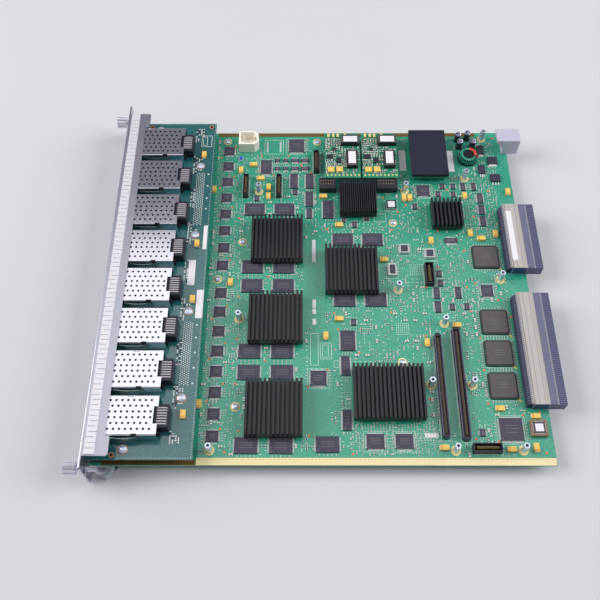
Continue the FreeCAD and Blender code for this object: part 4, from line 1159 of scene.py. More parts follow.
    def packed(self, rng: Any, step_x: float, step_y: float) -> Array:
        """Close rows over the dense areas, each place kept by the area's share.

        Args:
            rng: source of chance.
            step_x: lattice step along x.
            step_y: lattice step along y.

        Returns:
            Places and turns.
        """
        places = []
        for x0, x1, y0, y1, share in self.dense:
            x, y = np.meshgrid(np.arange(x0, x1, step_x), np.arange(y0, y1, step_y))
            keep = rng.random(x.shape) < share
            turn = np.where(rng.random(x.shape) < 0.5, 0.0, np.pi / 2)
            places.append(np.stack([x[keep], y[keep], turn[keep]], axis=1))
        return np.concatenate(places)

    def place(self, name: str, places: Array, footprint: Footprint, finish: Finish) -> None:
        """Adds one group of parts: bodies, and soldered ends a little higher and wider.

        Args:
            name: the pieces' name.
            places: K x 3 of x, y and turn.
            footprint: size of the parts.
            finish: finish of the bodies.
        """
        length, width, height = footprint.value
        spots_at = raised(places[:, :2])
        body = block(length * 0.62, width, height)
        end = block(length * 0.3, width * 1.12, height * 1.04)
        ends = Shape.join([end.moved((side * length * 0.42, 0, 0)) for side in (-1, 1)])
        self.bench.piece(name, body.scattered(spots_at, places[:, 2]), finish)
        self.bench.piece(name + "_ends", ends.scattered(spots_at, places[:, 2]), Look.TIN)


# ------------------------------------------------------------------ chips
class Sides(Enum):
    """Which sides of a chip carry leads, as outward angles in quarter turns."""

    SHORT_X = (0, 2)
    SHORT_Y = (1, 3)
    ALL = (0, 1, 2, 3)


@dataclass(frozen=True)
class ChipRow:
    """One group of chips.

    Args:
        node: the CAD node.
        sides: the sides with leads.
        pitch: from lead to lead.
        finish: the package's finish.
        dot: the first-lead mark's radius.
    """

    node: str
    sides: Sides
    pitch: float
    finish: Finish
    dot: float = 0.55


@dataclass
class Chips(Assembly):
    """Packages with bent leads, first-lead marks and pale array lids."""

    lead_share: float = 0.68
    mark_depth: float = 0.03
    tick_step: float = 0.9
    tick_half: tuple[float, float] = (0.34, 0.26)
    tick_rows: tuple[float, ...] = (-0.14, 0.02, 0.16)  # shares of the package, from its middle
    rows: tuple[ChipRow, ...] = (
        ChipRow("memory_chips", Sides.SHORT_X, 0.62, Look.CHIP),
        ChipRow("phy_chips", Sides.ALL, 0.62, Look.CHIP),
        ChipRow("quad_flat_chips", Sides.ALL, 0.6, Look.CHIP),
        ChipRow("logic_chips", Sides.SHORT_Y, 0.95, Look.CHIP))

    def build(self) -> None:
        """Dresses every chip."""
        for row in self.rows:
            self.bench.paint(row.finish, row.node)
            boxes = self.card.solids(row.node)
            self.bench.piece(row.node + "_leads", self.leads(boxes, row), Look.TIN)
            corner = boxes[:, 0, :2] + 1.6
            marks = [spots([place], row.dot, box[1, 2] - 0.01, self.mark_depth, 10)
                     for place, box in zip(corner, boxes)]
            self.bench.piece(row.node + "_marks", Shape.join([*marks, self.print_rows(boxes)]),
                             Look.CHIP_PRINT)
        self.arrays()
        self.oscillators()

    def print_rows(self, boxes: Array) -> Shape:
        """Worn rows of plain ticks across the middle of each package, in place of its lettering."""
        rows, (tick_x, tick_y) = [], self.tick_half
        for low, high in boxes:
            size, middle = high - low, (low + high) / 2
            count = max(int(size[0] * 0.6 / self.tick_step), 2)
            x = middle[0] + centred(count, self.tick_step)
            for share in self.tick_rows:
                y = middle[1] + share * size[1]
                rows.append(spans((x - tick_x, x + tick_x), (y - tick_y, y + tick_y),
                                  (high[2] - 0.01, high[2] + 0.02)))
        return slabs(np.concatenate(rows))

    def lead(self, height: float, pitch: float) -> Shape:
        """Gull-wing lead that leaves the package at half its height and lies flat on the board."""
        path = np.array([(-0.1, height * 0.5), (0.35, height * 0.5), (0.65, 0.06), (1.45, 0.06)])
        return strip(path, pitch * self.lead_share, 0.14)

    def leads(self, boxes: Array, row: ChipRow) -> Shape:
        """Leads along the chosen sides of each chip: a side's leads are spread evenly along it."""
        shapes = []
        for low, high in boxes:
            size, middle = high - low, (low + high) / 2
            for quarter in row.sides.value:
                if row.sides is Sides.SHORT_Y and size[0] < size[1]:
                    quarter += 1
                along = size[1] if quarter % 2 == 0 else size[0]
                reach = (size[0] if quarter % 2 == 0 else size[1]) / 2
                angle = quarter * np.pi / 2
                count = max(int((along - 1.2) / row.pitch), 2)
                offset = centred(count, row.pitch)
                out = np.array([np.cos(angle), np.sin(angle)])
                side = np.array([-out[1], out[0]])
                places = middle[None, :2] + out * reach + offset[:, None] * side
                shapes.append(self.lead(size[2], row.pitch).scattered(raised(places, low[2]), angle))
        return Shape.join(shapes)

    def arrays(self) -> None:
        """Ball-grid arrays: dark bodies with a raised lid and a slanted yellow bar at one corner."""
        self.bench.paint(Look.CHIP_DARK, "bga_chips")
        boxes = self.card.solids("bga_chips")
        lids = [block(w - 2.6, d - 2.6, 0.3, 0.2, 0.7, 2).moved((x, y, top - SEAT))
                for (x, y, top), (w, d) in self.tops(boxes)]
        self.bench.piece("array_lids", Shape.join(lids), Look.CHIP_LID)
        at = np.column_stack([boxes[:, 1, 0] + 0.4, boxes[:, 0, 1] - 0.4, np.zeros(len(boxes))])
        self.bench.piece("array_marks", block(4.2, 1.3, 0.1).scattered(at, -np.pi / 4), Look.TANTALUM)
        tops = boxes.copy()
        tops[:, 0, :2] += 5.0
        tops[:, 1, :2] -= 5.0
        tops[:, 1, 2] += 0.28
        self.bench.piece("array_print", self.print_rows(tops), Look.CHIP_PRINT)

    @staticmethod
    def tops(boxes: Array) -> list[tuple[Array, Array]]:
        """Middle of the top and plan size of each box."""
        return [(np.array([*(b[0, :2] + b[1, :2]) / 2, b[1, 2]]), b[1, :2] - b[0, :2]) for b in boxes]

    def oscillators(self) -> None:
        """Metal cans with a seam round the foot: one under a framed label, the others with lids and pins."""
        self.bench.paint(Look.OSCILLATOR, "oscillators")
        boxes = self.card.solids("oscillators")
        tops = self.tops(boxes)
        rims = [block(w + 0.9, d + 0.9, 0.45, 0.15, 0.8, 2).moved((x, y, 0.02)) for (x, y, _), (w, d) in tops]
        self.bench.piece("oscillator_rims", Shape.join(rims), Look.OSCILLATOR)
        farthest = int(np.argmax(boxes[:, 1, 1]))
        lids, pins = [], []
        for index, ((x, y, top), (w, d)) in enumerate(tops):
            if index == farthest:
                continue
            lids.append(block(w - 2.4, d - 2.4, 0.5, 0.2, 0.6, 1).moved((x, y, top - SEAT)))
            steps = y + centred(4, (d - 3.0) / 4)
            pins += [[(x + side * w / 2 - 1.2, step - 0.5, 0.1), (x + side * w / 2 + 1.2, step + 0.5, 0.6)]
                     for side in (-1, 1) for step in steps]
        self.bench.piece("oscillator_lids", Shape.join(lids), Look.CHIP)
        self.bench.piece("oscillator_pins", slabs(pins), Look.TIN)
        framed = grown(boxes[farthest:farthest + 1], 0.1)
        self.bench.piece("oscillator_label", slabs(film(framed, framed[0, 1, 2] - SEAT, 0.05)), Look.LABEL)
        self.bench.piece("oscillator_frame", frames(framed, 1.3, framed[0, 1, 2] - SEAT, 0.08), Look.BLACK)


# ------------------------------------------------------------------ capacitors, choke and transistors
@dataclass
class PowerParts(Assembly):
    """Tantalums, cans, the choke, transistors, power modules and the brick."""

    choke_hole: float = 4.2
    tabbed_beyond: float = 310.0
    wire_radius: float = 0.75
    wire_turns: int = 26
    green_wire: tuple[float, float] = (1.35, 5.85)  # angles round the ring where the winding starts and ends
    red_wire: tuple[float, float] = (-0.38, 1.30)

    def build(self) -> None:
        """Dresses every power part."""
        self.tantalums()
        self.cans()
        self.choke()
        self.modules()
        self.brick()
        self.bench.paint(Look.TRANSISTOR, "power_transistors")
        tabs = [self.tab(box) for box in self.card.solids("power_transistors")]
        self.bench.piece("transistor_tabs", Shape.join(tabs), Look.TIN)

    def tab(self, box: Array) -> Shape:
        """Solder tab in front of a transistor's body, or three leads for the nearer one of the pair."""
        low, high = box
        if low[1] > self.tabbed_beyond:
            return slabs([[(low[0] + 0.8, low[1] - 2.6, 0.02), (high[0] - 0.8, low[1] + 0.3, 0.9)]])
        middle, spread_x = (low[0] + high[0]) / 2, (high[0] - low[0]) * 0.3
        return slabs([[(middle + s * spread_x - 0.5, low[1] - 3.6, 0.02),
                       (middle + s * spread_x + 0.5, low[1] + 0.2, 0.7)] for s in (-1, 0, 1)])

    def tantalums(self) -> None:
        """Moulded capacitors with a dark band at one end and tin terminals at both."""
        self.bench.paint(Look.TANTALUM, "tantalum_capacitors")
        bands, ends = [], []
        for box in self.card.solids("tantalum_capacitors"):
            (low, high), size = box, box[1] - box[0]
            axis = int(size[1] > size[0])
            band = (low[axis] + size[axis] * 0.08, low[axis] + size[axis] * 0.26)
            bands.append(part_of(box, axis, band, 0.0, (high[2] - SEAT, high[2] + 0.04)))
            ends += [part_of(box, axis, (end - sign * 0.1, end + sign * 0.45), 0.7,
                             (low[2], low[2] + size[2] * 0.62))
                     for end, sign in ((low[axis], -1), (high[axis], 1))]
        self.bench.piece("tantalum_bands", slabs(bands), Look.TANTALUM_END)
        self.bench.piece("tantalum_terminals", slabs(ends), Look.TIN)

    def cans(self) -> None:
        """Electrolytic cans: rolled shoulder, waist near the foot, dark polarity segment and a base."""
        boxes = self.card.solids("electrolytic_capacitors")
        shapes, sleeves, marks = [], [], []
        for low, high in boxes:
            radius = (high[1] - low[1]) / 2 - 0.05
            top, foot = high[2], low[2] + 1.2
            middle = (low + high) / 2
            at, wide, rim = (middle[0], middle[1], 0), radius * 0.97, radius * 0.975
            side = [(0, foot), (wide, foot), (wide, foot + 0.5), (radius * 0.88, foot + 1.0),
                    (radius, foot + 1.6), (radius, top - 1.6), (wide, top - 1.5), (0, top - 1.5)]
            cap = [(0, top - 1.55), (rim, top - 1.55), (rim, top - 0.7), (radius * 0.92, top - 0.15),
                   (radius * 0.82, top), (radius * 0.76, top - 0.18), (0, top - 0.18)]
            shapes.append(turned(cap, 28).moved(at))
            sleeves.append(turned(side, 28).moved(at))
            half = circle(radius * 0.74, 28)
            half[:, 0] = np.minimum(half[:, 0], -radius * 0.3)
            marks.append(Shape.loft(stack([(half, top - 0.2), (half, top - 0.12)])).moved(at))
        self.bench.piece("can_tops", Shape.join(shapes), Look.CAN, smooth=True)
        self.bench.piece("can_sleeves", Shape.join(sleeves), Look.CAN_SLEEVE,
                         replaces=["electrolytic_capacitors"], smooth=True)
        self.bench.piece("can_marks", Shape.join(marks), Look.CAN_SLEEVE)
        feet = [block(*(high - low)[:2], 1.25, 0.1, 1.2, 1).moved((*((low + high) / 2)[:2], low[2]))
                for low, high in boxes]
        self.bench.piece("can_bases", Shape.join(feet), Look.BLACK)

    def choke(self) -> None:
        """Toroidal choke: two lengths of wire wound round the ring, green and red, over a dark core.

        A wire's middle is at ring radius R + w cos(n t) and height h + w sin(n t), for t round the
        circle and n turns, and the tube's rings stand square to the wire.
        """
        low, high = self.card.box("toroid_choke")
        middle, half = (low + high) / 2, (high[2] - low[2]) / 2
        section = ((high[0] - low[0]) / 2 - self.choke_hole) / 2
        ring_radius = self.choke_hole + section
        for name, angles, finish in (("choke_winding", self.green_wire, Look.WIRE),
                                     ("choke_winding_red", self.red_wire, Look.WIRE_END)):
            tube = self.wire(ring_radius, section, half, *angles)
            self.bench.piece(name, tube.moved(middle), finish, smooth=True)
        inner, outer = ring_radius - section + self.wire_radius, ring_radius + section - self.wire_radius
        lift = half - self.wire_radius
        core = [(inner, -lift), (outer, -lift), (outer, lift), (inner, lift), (inner, -lift)]
        wide, slim, tall = ring_radius + section, ring_radius - section - 0.1, (high[2] - low[2]) * 0.75
        seat = turned([(0.0, 0.0), (wide, 0.0), (wide, 1.1), (0.0, 1.1)], 36)
        # A dark cylinder inside the ring's hole, up to three quarters of its height, is painted shade.
        bore = turned([(0.0, 0.0), (slim, 0.0), (slim, tall), (0.0, tall)], 24)
        self.bench.piece("choke_bore", bore.moved((middle[0], middle[1], low[2] + 1.0)), Look.HOLE)
        self.bench.piece("choke_core", Shape.join([turned(core, 36).moved(middle),
                                                   seat.moved((middle[0], middle[1], low[2] + 0.02))]),
                         Look.COIL, replaces=["toroid_choke"])

    def wire(self, ring_radius: float, section: float, half: float, start: float, end: float) -> Shape:
        """Tube along a helix bent round part of the ring, closed at both ends.

        Args:
            ring_radius: radius of the ring's middle line.
            section: half the ring's width.
            half: half its height.
            start: angle where the winding starts.
            end: angle where it ends.

        Returns:
            The tube about the ring's middle.
        """
        wire, turns = self.wire_radius, self.wire_turns
        t = np.linspace(start, end, int((end - start) * turns * 2.2))
        radial = (section - wire) * np.cos(t * turns)
        lift = (half - wire) * np.sin(t * turns)
        centre = np.column_stack([ring_radius * np.cos(t), ring_radius * np.sin(t), np.zeros_like(t)])
        path = np.column_stack([(ring_radius + radial) * np.cos(t), (ring_radius + radial) * np.sin(t), lift])
        ahead = np.gradient(path, axis=0)
        ahead /= np.linalg.norm(ahead, axis=1, keepdims=True)
        out = path - centre
        out -= (out * ahead).sum(axis=1, keepdims=True) * ahead
        out /= np.linalg.norm(out, axis=1, keepdims=True)
        side = np.cross(ahead, out)
        angle = np.arange(8) / 8 * 2 * np.pi
        rings = path[:, None] + wire * (np.cos(angle)[None, :, None] * out[:, None]
                                        + np.sin(angle)[None, :, None] * side[:, None])
        return Shape.loft(rings)

    def modules(self) -> None:
        """Power modules: boards, coils with their end plates, labels and board parts."""
        self.bench.paint(Look.MODULE_BOARD, "power_module_boards")
        self.bench.paint(Look.COIL, "power_module_coils")
        coils = self.card.solids("power_module_coils")
        clamps, labels = [], []
        for box in coils:
            (low, high), size = box, box[1] - box[0]
            axis = int(size[1] > size[0])
            clamps += [part_of(box, axis, (end + sign * 0.4, end + sign * 2.2), 0.5,
                               (high[2] - SEAT, high[2] + 0.12))
                       for end, sign in ((low[axis], 1), (high[axis], -1))]
            labels.append(part_of(box, axis, (low[axis] + size[axis] * 0.14, high[axis] - size[axis] * 0.1),
                                  size[1 - axis] * 0.16, (high[2] - SEAT, high[2] + 0.05)))
        self.bench.piece("coil_clamps", slabs(clamps), Look.CHIP_LID)
        self.bench.piece("coil_labels", slabs(labels), Look.LABEL)
        self.module_parts(coils)
        self.bench.paint(Look.BLACK, "board_connectors")
        pins = []
        for low, high in self.card.solids("board_connectors"):
            x = np.arange(low[0] + 1.6, high[0] - 1.0, 2.5)
            for y in (low[1] + (high[1] - low[1]) * 0.42, low[1] + (high[1] - low[1]) * 0.72):
                pins.append(spans((x - 0.4, x + 0.4), (y - 0.4, y + 0.4), (high[2] - SEAT, high[2] + 0.05)))
        self.bench.piece("board_connector_pins", slabs(np.concatenate(pins)), Look.PIN_GOLD)

    def module_parts(self, coils: Array) -> None:
        """Parts of the module boards: a row of pads, yellow and cream blocks and rows of small parts."""
        rng = np.random.default_rng(11)
        block_rows: dict[str, list[Any]] = {"yellow": [], "cream": [], "dark": [], "pads": []}
        small = []
        for low, high in self.card.solids("power_module_boards"):
            x0, y0, top = low[0], low[1], high[2]
            block_rows["yellow"] += [[(x0 + a, y0 + b, top), (x0 + a + 6.5, y0 + b + 6.0, top + 1.6)]
                                     for a, b in ((3.0, 6.5), (11.5, 7.0))]
            block_rows["cream"] += [[(x0 + a, high[1] - 5.5, top), (x0 + a + 2.4, high[1] - 1.2, top + 1.4)]
                                    for a in (3.0, 8.0, 12.5, 20.0)]
            block_rows["dark"] += [[(x0 + a, y0 + b, top), (x0 + a + w, y0 + b + d, top + 1.5)]
                                   for a, b, w, d in ((2.5, 24.0, 6.0, 5.0), (12.0, 18.0, 4.5, 6.5),
                                                      (27.0, 50.5, 6.0, 4.5), (8.0, 34.5, 3.5, 3.0))]
            block_rows["pads"] += [[(x0 + a, y0 + 2.4, top), (x0 + a + 1.6, y0 + 4.2, top + 0.1)]
                                   for a in np.arange(2.0, 34.0, 3.9)]
            x, y = np.meshgrid(np.arange(x0 + 1.8, high[0] - 1.2, 2.7),
                               np.arange(y0 + 6.0, high[1] - 6.5, 2.7))
            points = np.column_stack([x.ravel(), y.ravel()])
            walls = np.concatenate([coils, np.array(block_rows["yellow"] + block_rows["dark"])])
            inside = ((points[:, None] > walls[None, :, 0, :2] - 1.0)
                      & (points[:, None] < walls[None, :, 1, :2] + 1.0)).all(axis=2).any(axis=1)
            left = points[:, 0] < x0 + 18.0
            points = points[~inside & (rng.random(len(points)) < np.where(left, 0.9, 0.5))]
            small.append(raised(points, top))
        at = np.concatenate(small)
        turns = np.where(rng.random(len(at)) < 0.5, 0.0, np.pi / 2)
        split = rng.random(len(at)) < 0.45
        body, end = block(1.2, 1.3, 0.8), Shape.join([block(0.6, 1.4, 0.85).moved((s * 0.85, 0, 0))
                                                      for s in (-1, 1)])
        self.bench.piece("module_resistors", body.scattered(at[split], turns[split]), Look.RESISTOR)
        self.bench.piece("module_capacitors", body.scattered(at[~split], turns[~split]), Look.CERAMIC)
        self.bench.piece("module_part_ends", end.scattered(at, turns), Look.TIN)
        for name, finish in (("yellow", Look.TANTALUM), ("cream", Look.PAD_CREAM), ("dark", Look.BLACK),
                             ("pads", Look.PAD_CREAM)):
            self.bench.piece("module_" + name, slabs(block_rows[name]), finish)

    def brick(self) -> None:
        """Converter brick: plate on its board, with screw seats in the corners round bores of painted shade.
        """
        self.bench.paint(Look.MODULE_BOARD, "converter_board")
        self.bench.paint(Look.BRICK, "converter_baseplate")
        low, high = self.card.box("converter_baseplate")
        inset = 3.2
        places = np.array([(x, y) for x in (low[0] + inset, high[0] - inset)
                           for y in (low[1] + inset, high[1] - inset)])
        self.bench.piece("brick_screw_seats", washers(places, 0.9, 1.9, high[2] - 0.01, 0.06, 18),
                         Look.BRICK_BOARD)
        # The screw bores are dark discs of painted shade.
        self.bench.piece("brick_screw_bores", spots(places, 0.9, high[2] - 0.01, 0.03, 16), Look.HOLE)


# ------------------------------------------------------------------ sockets and connectors
@dataclass
class Connectors(Assembly):
    """Daughter sockets, test headers, the socketed chip, posts and the backplane row."""

    step_width: float = 5.8
    lip: float = 1.9

    def build(self) -> None:
        """Dresses every connector."""
        self.daughter_sockets()
        self.test_headers()
        self.socketed_chip()
        self.posts()
        self.backplane()

    def daughter_sockets(self) -> None:
        """Long sockets: rows of contacts beside a brown tongue, and tin tails outside."""
        self.bench.paint(Look.BLACK, "daughter_sockets")
        contacts, tongues, tails, rails = [], [], [], []
        for low, high in self.card.solids("daughter_sockets"):
            middle = (low + high) / 2
            rails += [[(x - 0.2, low[1] + 1.5, high[2] - SEAT), (x + 0.2, high[1] - 1.5, high[2] + 0.05)]
                      for x in (low[0] + 0.4, high[0] - 0.4)]
            y = np.arange(low[1] + 5.0, high[1] - 4.0, 1.0)
            for side in (-1, 1):
                x = middle[0] + side * 1.05
                contacts.append(spans((x - 0.2, x + 0.2), (y - 0.2, y + 0.2), (1.5, high[2] - 1.4)))
                edge = low[0] if side < 0 else high[0]
                x = edge + side * 0.55
                tails.append(spans((x - 0.6, x + 0.6), (y - 0.2, y + 0.2), (0.02, 0.3)))
            tongues.append([(middle[0] - 0.8, low[1] + 4.0, 1.5),
                            (middle[0] + 0.8, high[1] - 4.0, high[2] - 0.8)])
        self.bench.piece("socket_rails", slabs(rails), Look.SLATE_PALE)
        self.bench.piece("socket_contacts", slabs(np.concatenate(contacts)), Look.COMB)
        self.bench.piece("socket_tails", slabs(np.concatenate(tails)), Look.TIN)
        self.bench.piece("socket_tongues", slabs(tongues), Look.CORE)

    def test_headers(self) -> None:
        """Shrouded test headers: brown tongue with gold contacts on both sides, and tin tails."""
        self.bench.paint(Look.BLACK, "test_headers")
        tongues, contacts, tails = [], [], []
        for low, high in self.card.solids("test_headers"):
            size, middle = high - low, (low + high) / 2
            axis = int(size[1] > size[0])
            floor, top = low[2] + 2.0, high[2]
            steps = np.arange(low[axis] + 3.2, high[axis] - 3.0, 0.64)
            tongues.append(self.bar(axis, np.array([middle[axis]]), middle[1 - axis],
                                    (size[axis] / 2 - 2.6, 0.7), (floor, top - 0.6)))
            for side in (-1, 1):
                contacts.append(self.bar(axis, steps, middle[1 - axis] + side * 0.8, (0.18, 0.12),
                                         (floor, top - 0.9)))
                edge = middle[1 - axis] + side * (size[1 - axis] / 2 + 0.5)
                tails.append(self.bar(axis, steps, edge, (0.15, 0.5), (0.02, 0.25)))
        self.bench.piece("test_header_tongues", slabs(np.concatenate(tongues)), Look.CORE)
        self.bench.piece("test_header_contacts", slabs(np.concatenate(contacts)), Look.PIN_GOLD)
        self.bench.piece("test_header_tails", slabs(np.concatenate(tails)), Look.TIN)

    @staticmethod
    def bar(axis: int, along: Array, across: float, half: tuple[float, float],
            heights: tuple[float, float]) -> Array:
        """Boxes in a row along one axis.

        Args:
            axis: the row's axis, 0 for x or 1 for y.
            along: places of the boxes' middles on that axis.
            across: their place on the other axis.
            half: half sizes along and across the row.
            heights: bottom and top.

        Returns:
            A K x 2 x 3 array of boxes.
        """
        row, side = (along - half[0], along + half[0]), (across - half[1], across + half[1])
        return spans(*((side, row) if axis else (row, side)), heights)

    def socketed_chip(self) -> None:
        """Socket with contacts along its edges and a chip under a paper label."""
        self.bench.paint(Look.SOCKET_BROWN, "plcc_socket")
        low, high = self.card.box("plcc_socket")
        middle, size = (low + high) / 2, high - low
        chip = block(size[0] - 4.4, size[1] - 4.4, 2.2, 0.3, 0.8, 1)
        self.bench.piece("socketed_chip", chip.moved((middle[0], middle[1], high[2] - 1.9)), Look.CHIP)
        label = block(size[0] - 7.2, size[1] - 7.2, 0.08).moved((middle[0], middle[1], high[2] + 0.3))
        self.bench.piece("socketed_chip_label", label, Look.LABEL)
        steps = centred(7, 1.15)
        reach = size[0] / 2 - 1.9
        contacts = [self.bar(axis, middle[axis] + steps, middle[1 - axis] + side * reach, (0.3, 0.35),
                             (high[2] - 1.2, high[2] + 0.05)) for axis in (0, 1) for side in (-1, 1)]
        self.bench.piece("socket_chip_contacts", slabs(np.concatenate(contacts)), Look.COMB)

    def posts(self) -> None:
        """Hexagonal posts with a bored top and a cream ring pad."""
        boxes = self.card.solids("standoffs")
        tall = boxes[(boxes[:, 1, 2] - boxes[:, 0, 2]) > 8.0]
        centre = tall.mean(axis=1)
        height = float(tall[0, 1, 2] - tall[0, 0, 2])
        radius = 2.5 / math.cos(math.pi / 6)
        hexagon = circle(radius, 6)
        slim = circle(radius * 0.94, 6)
        bore = circle(1.45, 6)
        rings = stack([(hexagon, 0.0), (hexagon, height - 0.35), (slim, height), (bore, height),
                       (bore, height - 6.0)])
        post = Shape.loft(rings)
        at = raised(centre[:, :2])
        self.bench.piece("bored_posts", post.scattered(at), Look.POST, replaces=["standoffs"])
        pads = centre[centre[:, 0] > self.card.box("port_board")[1, 0], :2]
        self.bench.piece("post_pads", washers(pads, 2.6, 4.3, 0.0, 0.1, 24), Look.PAD_CREAM)
        # A dark disc low in each bore is painted shade.
        shade = spots(centre[:, :2], 1.4, height - 5.9, 0.05, 6)
        self.bench.piece("post_bores", shade, Look.HOLE)

    def backplane(self) -> None:
        """Backplane row: cream tops with joints and teeth, a pale step, dotted edge and slate sockets."""
        lift = 0.06
        self.bench.paint(Look.BEIGE, "backplane_housings")
        self.bench.paint(Look.SLATE, "backplane_sockets")
        self.bench.paint(Look.SLATE_DARK, "backplane_contacts")
        combs = []
        for low, high in self.card.solids("backplane_contacts"):
            y = np.arange(low[1] + 0.6, high[1] - 0.4, 1.9)
            combs.append(self.bar(1, y, low[0] + 1.4, (0.4, 1.2), (high[2] - SEAT, high[2] + lift)))
        self.bench.piece("backplane_comb", slabs(np.concatenate(combs)), Look.SLATE_PALE)
        steps, lips, grooves, dots, teeth, joints, faces = [], [], [], [], [], [], []
        for low, high in self.card.solids("backplane_sockets"):
            y = np.arange(low[1] + 0.9, high[1] - 0.6, 1.9)
            top = (high[2] - SEAT, high[2] + lift)
            grooves.append(self.bar(1, y, (low[0] + self.step_width + 1.6 + high[0] - 0.3) / 2,
                                    (0.28, (high[0] - low[0] - self.step_width - 1.9) / 2), top))
            dots.append(self.bar(1, y, low[0] + self.step_width + 0.75, (0.5, 0.6), top))
            steps.append([(low[0] + 0.1, low[1] + 0.3, top[0]),
                          (low[0] + self.step_width, high[1] - 0.3, top[1] + 0.4)])
        for low, high in self.card.solids("backplane_housings"):
            top = (high[2] - SEAT, high[2] + lift)
            y = np.arange(low[1] + 0.9, high[1] - 0.6, 1.9)
            lips.append([(low[0] - self.lip, low[1] + 0.4, high[2] - 1.7),
                         (low[0] + 0.1, high[1] - 0.4, high[2])])
            teeth.append(self.bar(1, y, low[0] - self.lip + 0.6, (0.45, 0.6), top))
            joints += [[(low[0] + x, low[1] + 0.2, top[0]), (low[0] + x + 0.22, high[1] - 0.2, top[1] + 0.01)]
                       for x in (4.4, 9.6)]
            faces += [[(low[0] - 0.06, low[1] + 0.1, 0.1), (low[0] + 0.1, high[1] - 0.1, high[2] - 0.4)],
                      [(low[0] + 0.5, low[1] - 0.06, 0.6), (high[0] - 0.3, low[1] + 0.1, high[2] - 0.7)]]
        self.bench.piece("backplane_step", slabs(steps), Look.SLATE_PALE)
        self.bench.piece("backplane_lips", slabs(lips), Look.BEIGE)
        self.bench.piece("backplane_grooves", slabs(np.concatenate(grooves)), Look.SLATE_DARK)
        self.bench.piece("backplane_teeth", slabs(np.concatenate(teeth)), Look.NAVY)
        self.bench.piece("backplane_joints", slabs(joints), Look.SLATE_PALE)
        self.bench.piece("backplane_faces", slabs(faces), Look.NAVY)
        self.bench.piece("backplane_dots", slabs(np.concatenate(dots)), Look.BEIGE)
        low, high = self.card.solids("backplane_housings")[1]
        label = [[(low[0] + 0.6, low[1] + 8.5, high[2] - SEAT), (low[0] + 5.8, high[1] - 8.5, high[2] + 0.1)]]
        self.bench.piece("backplane_label", slabs(label), Look.LABEL)


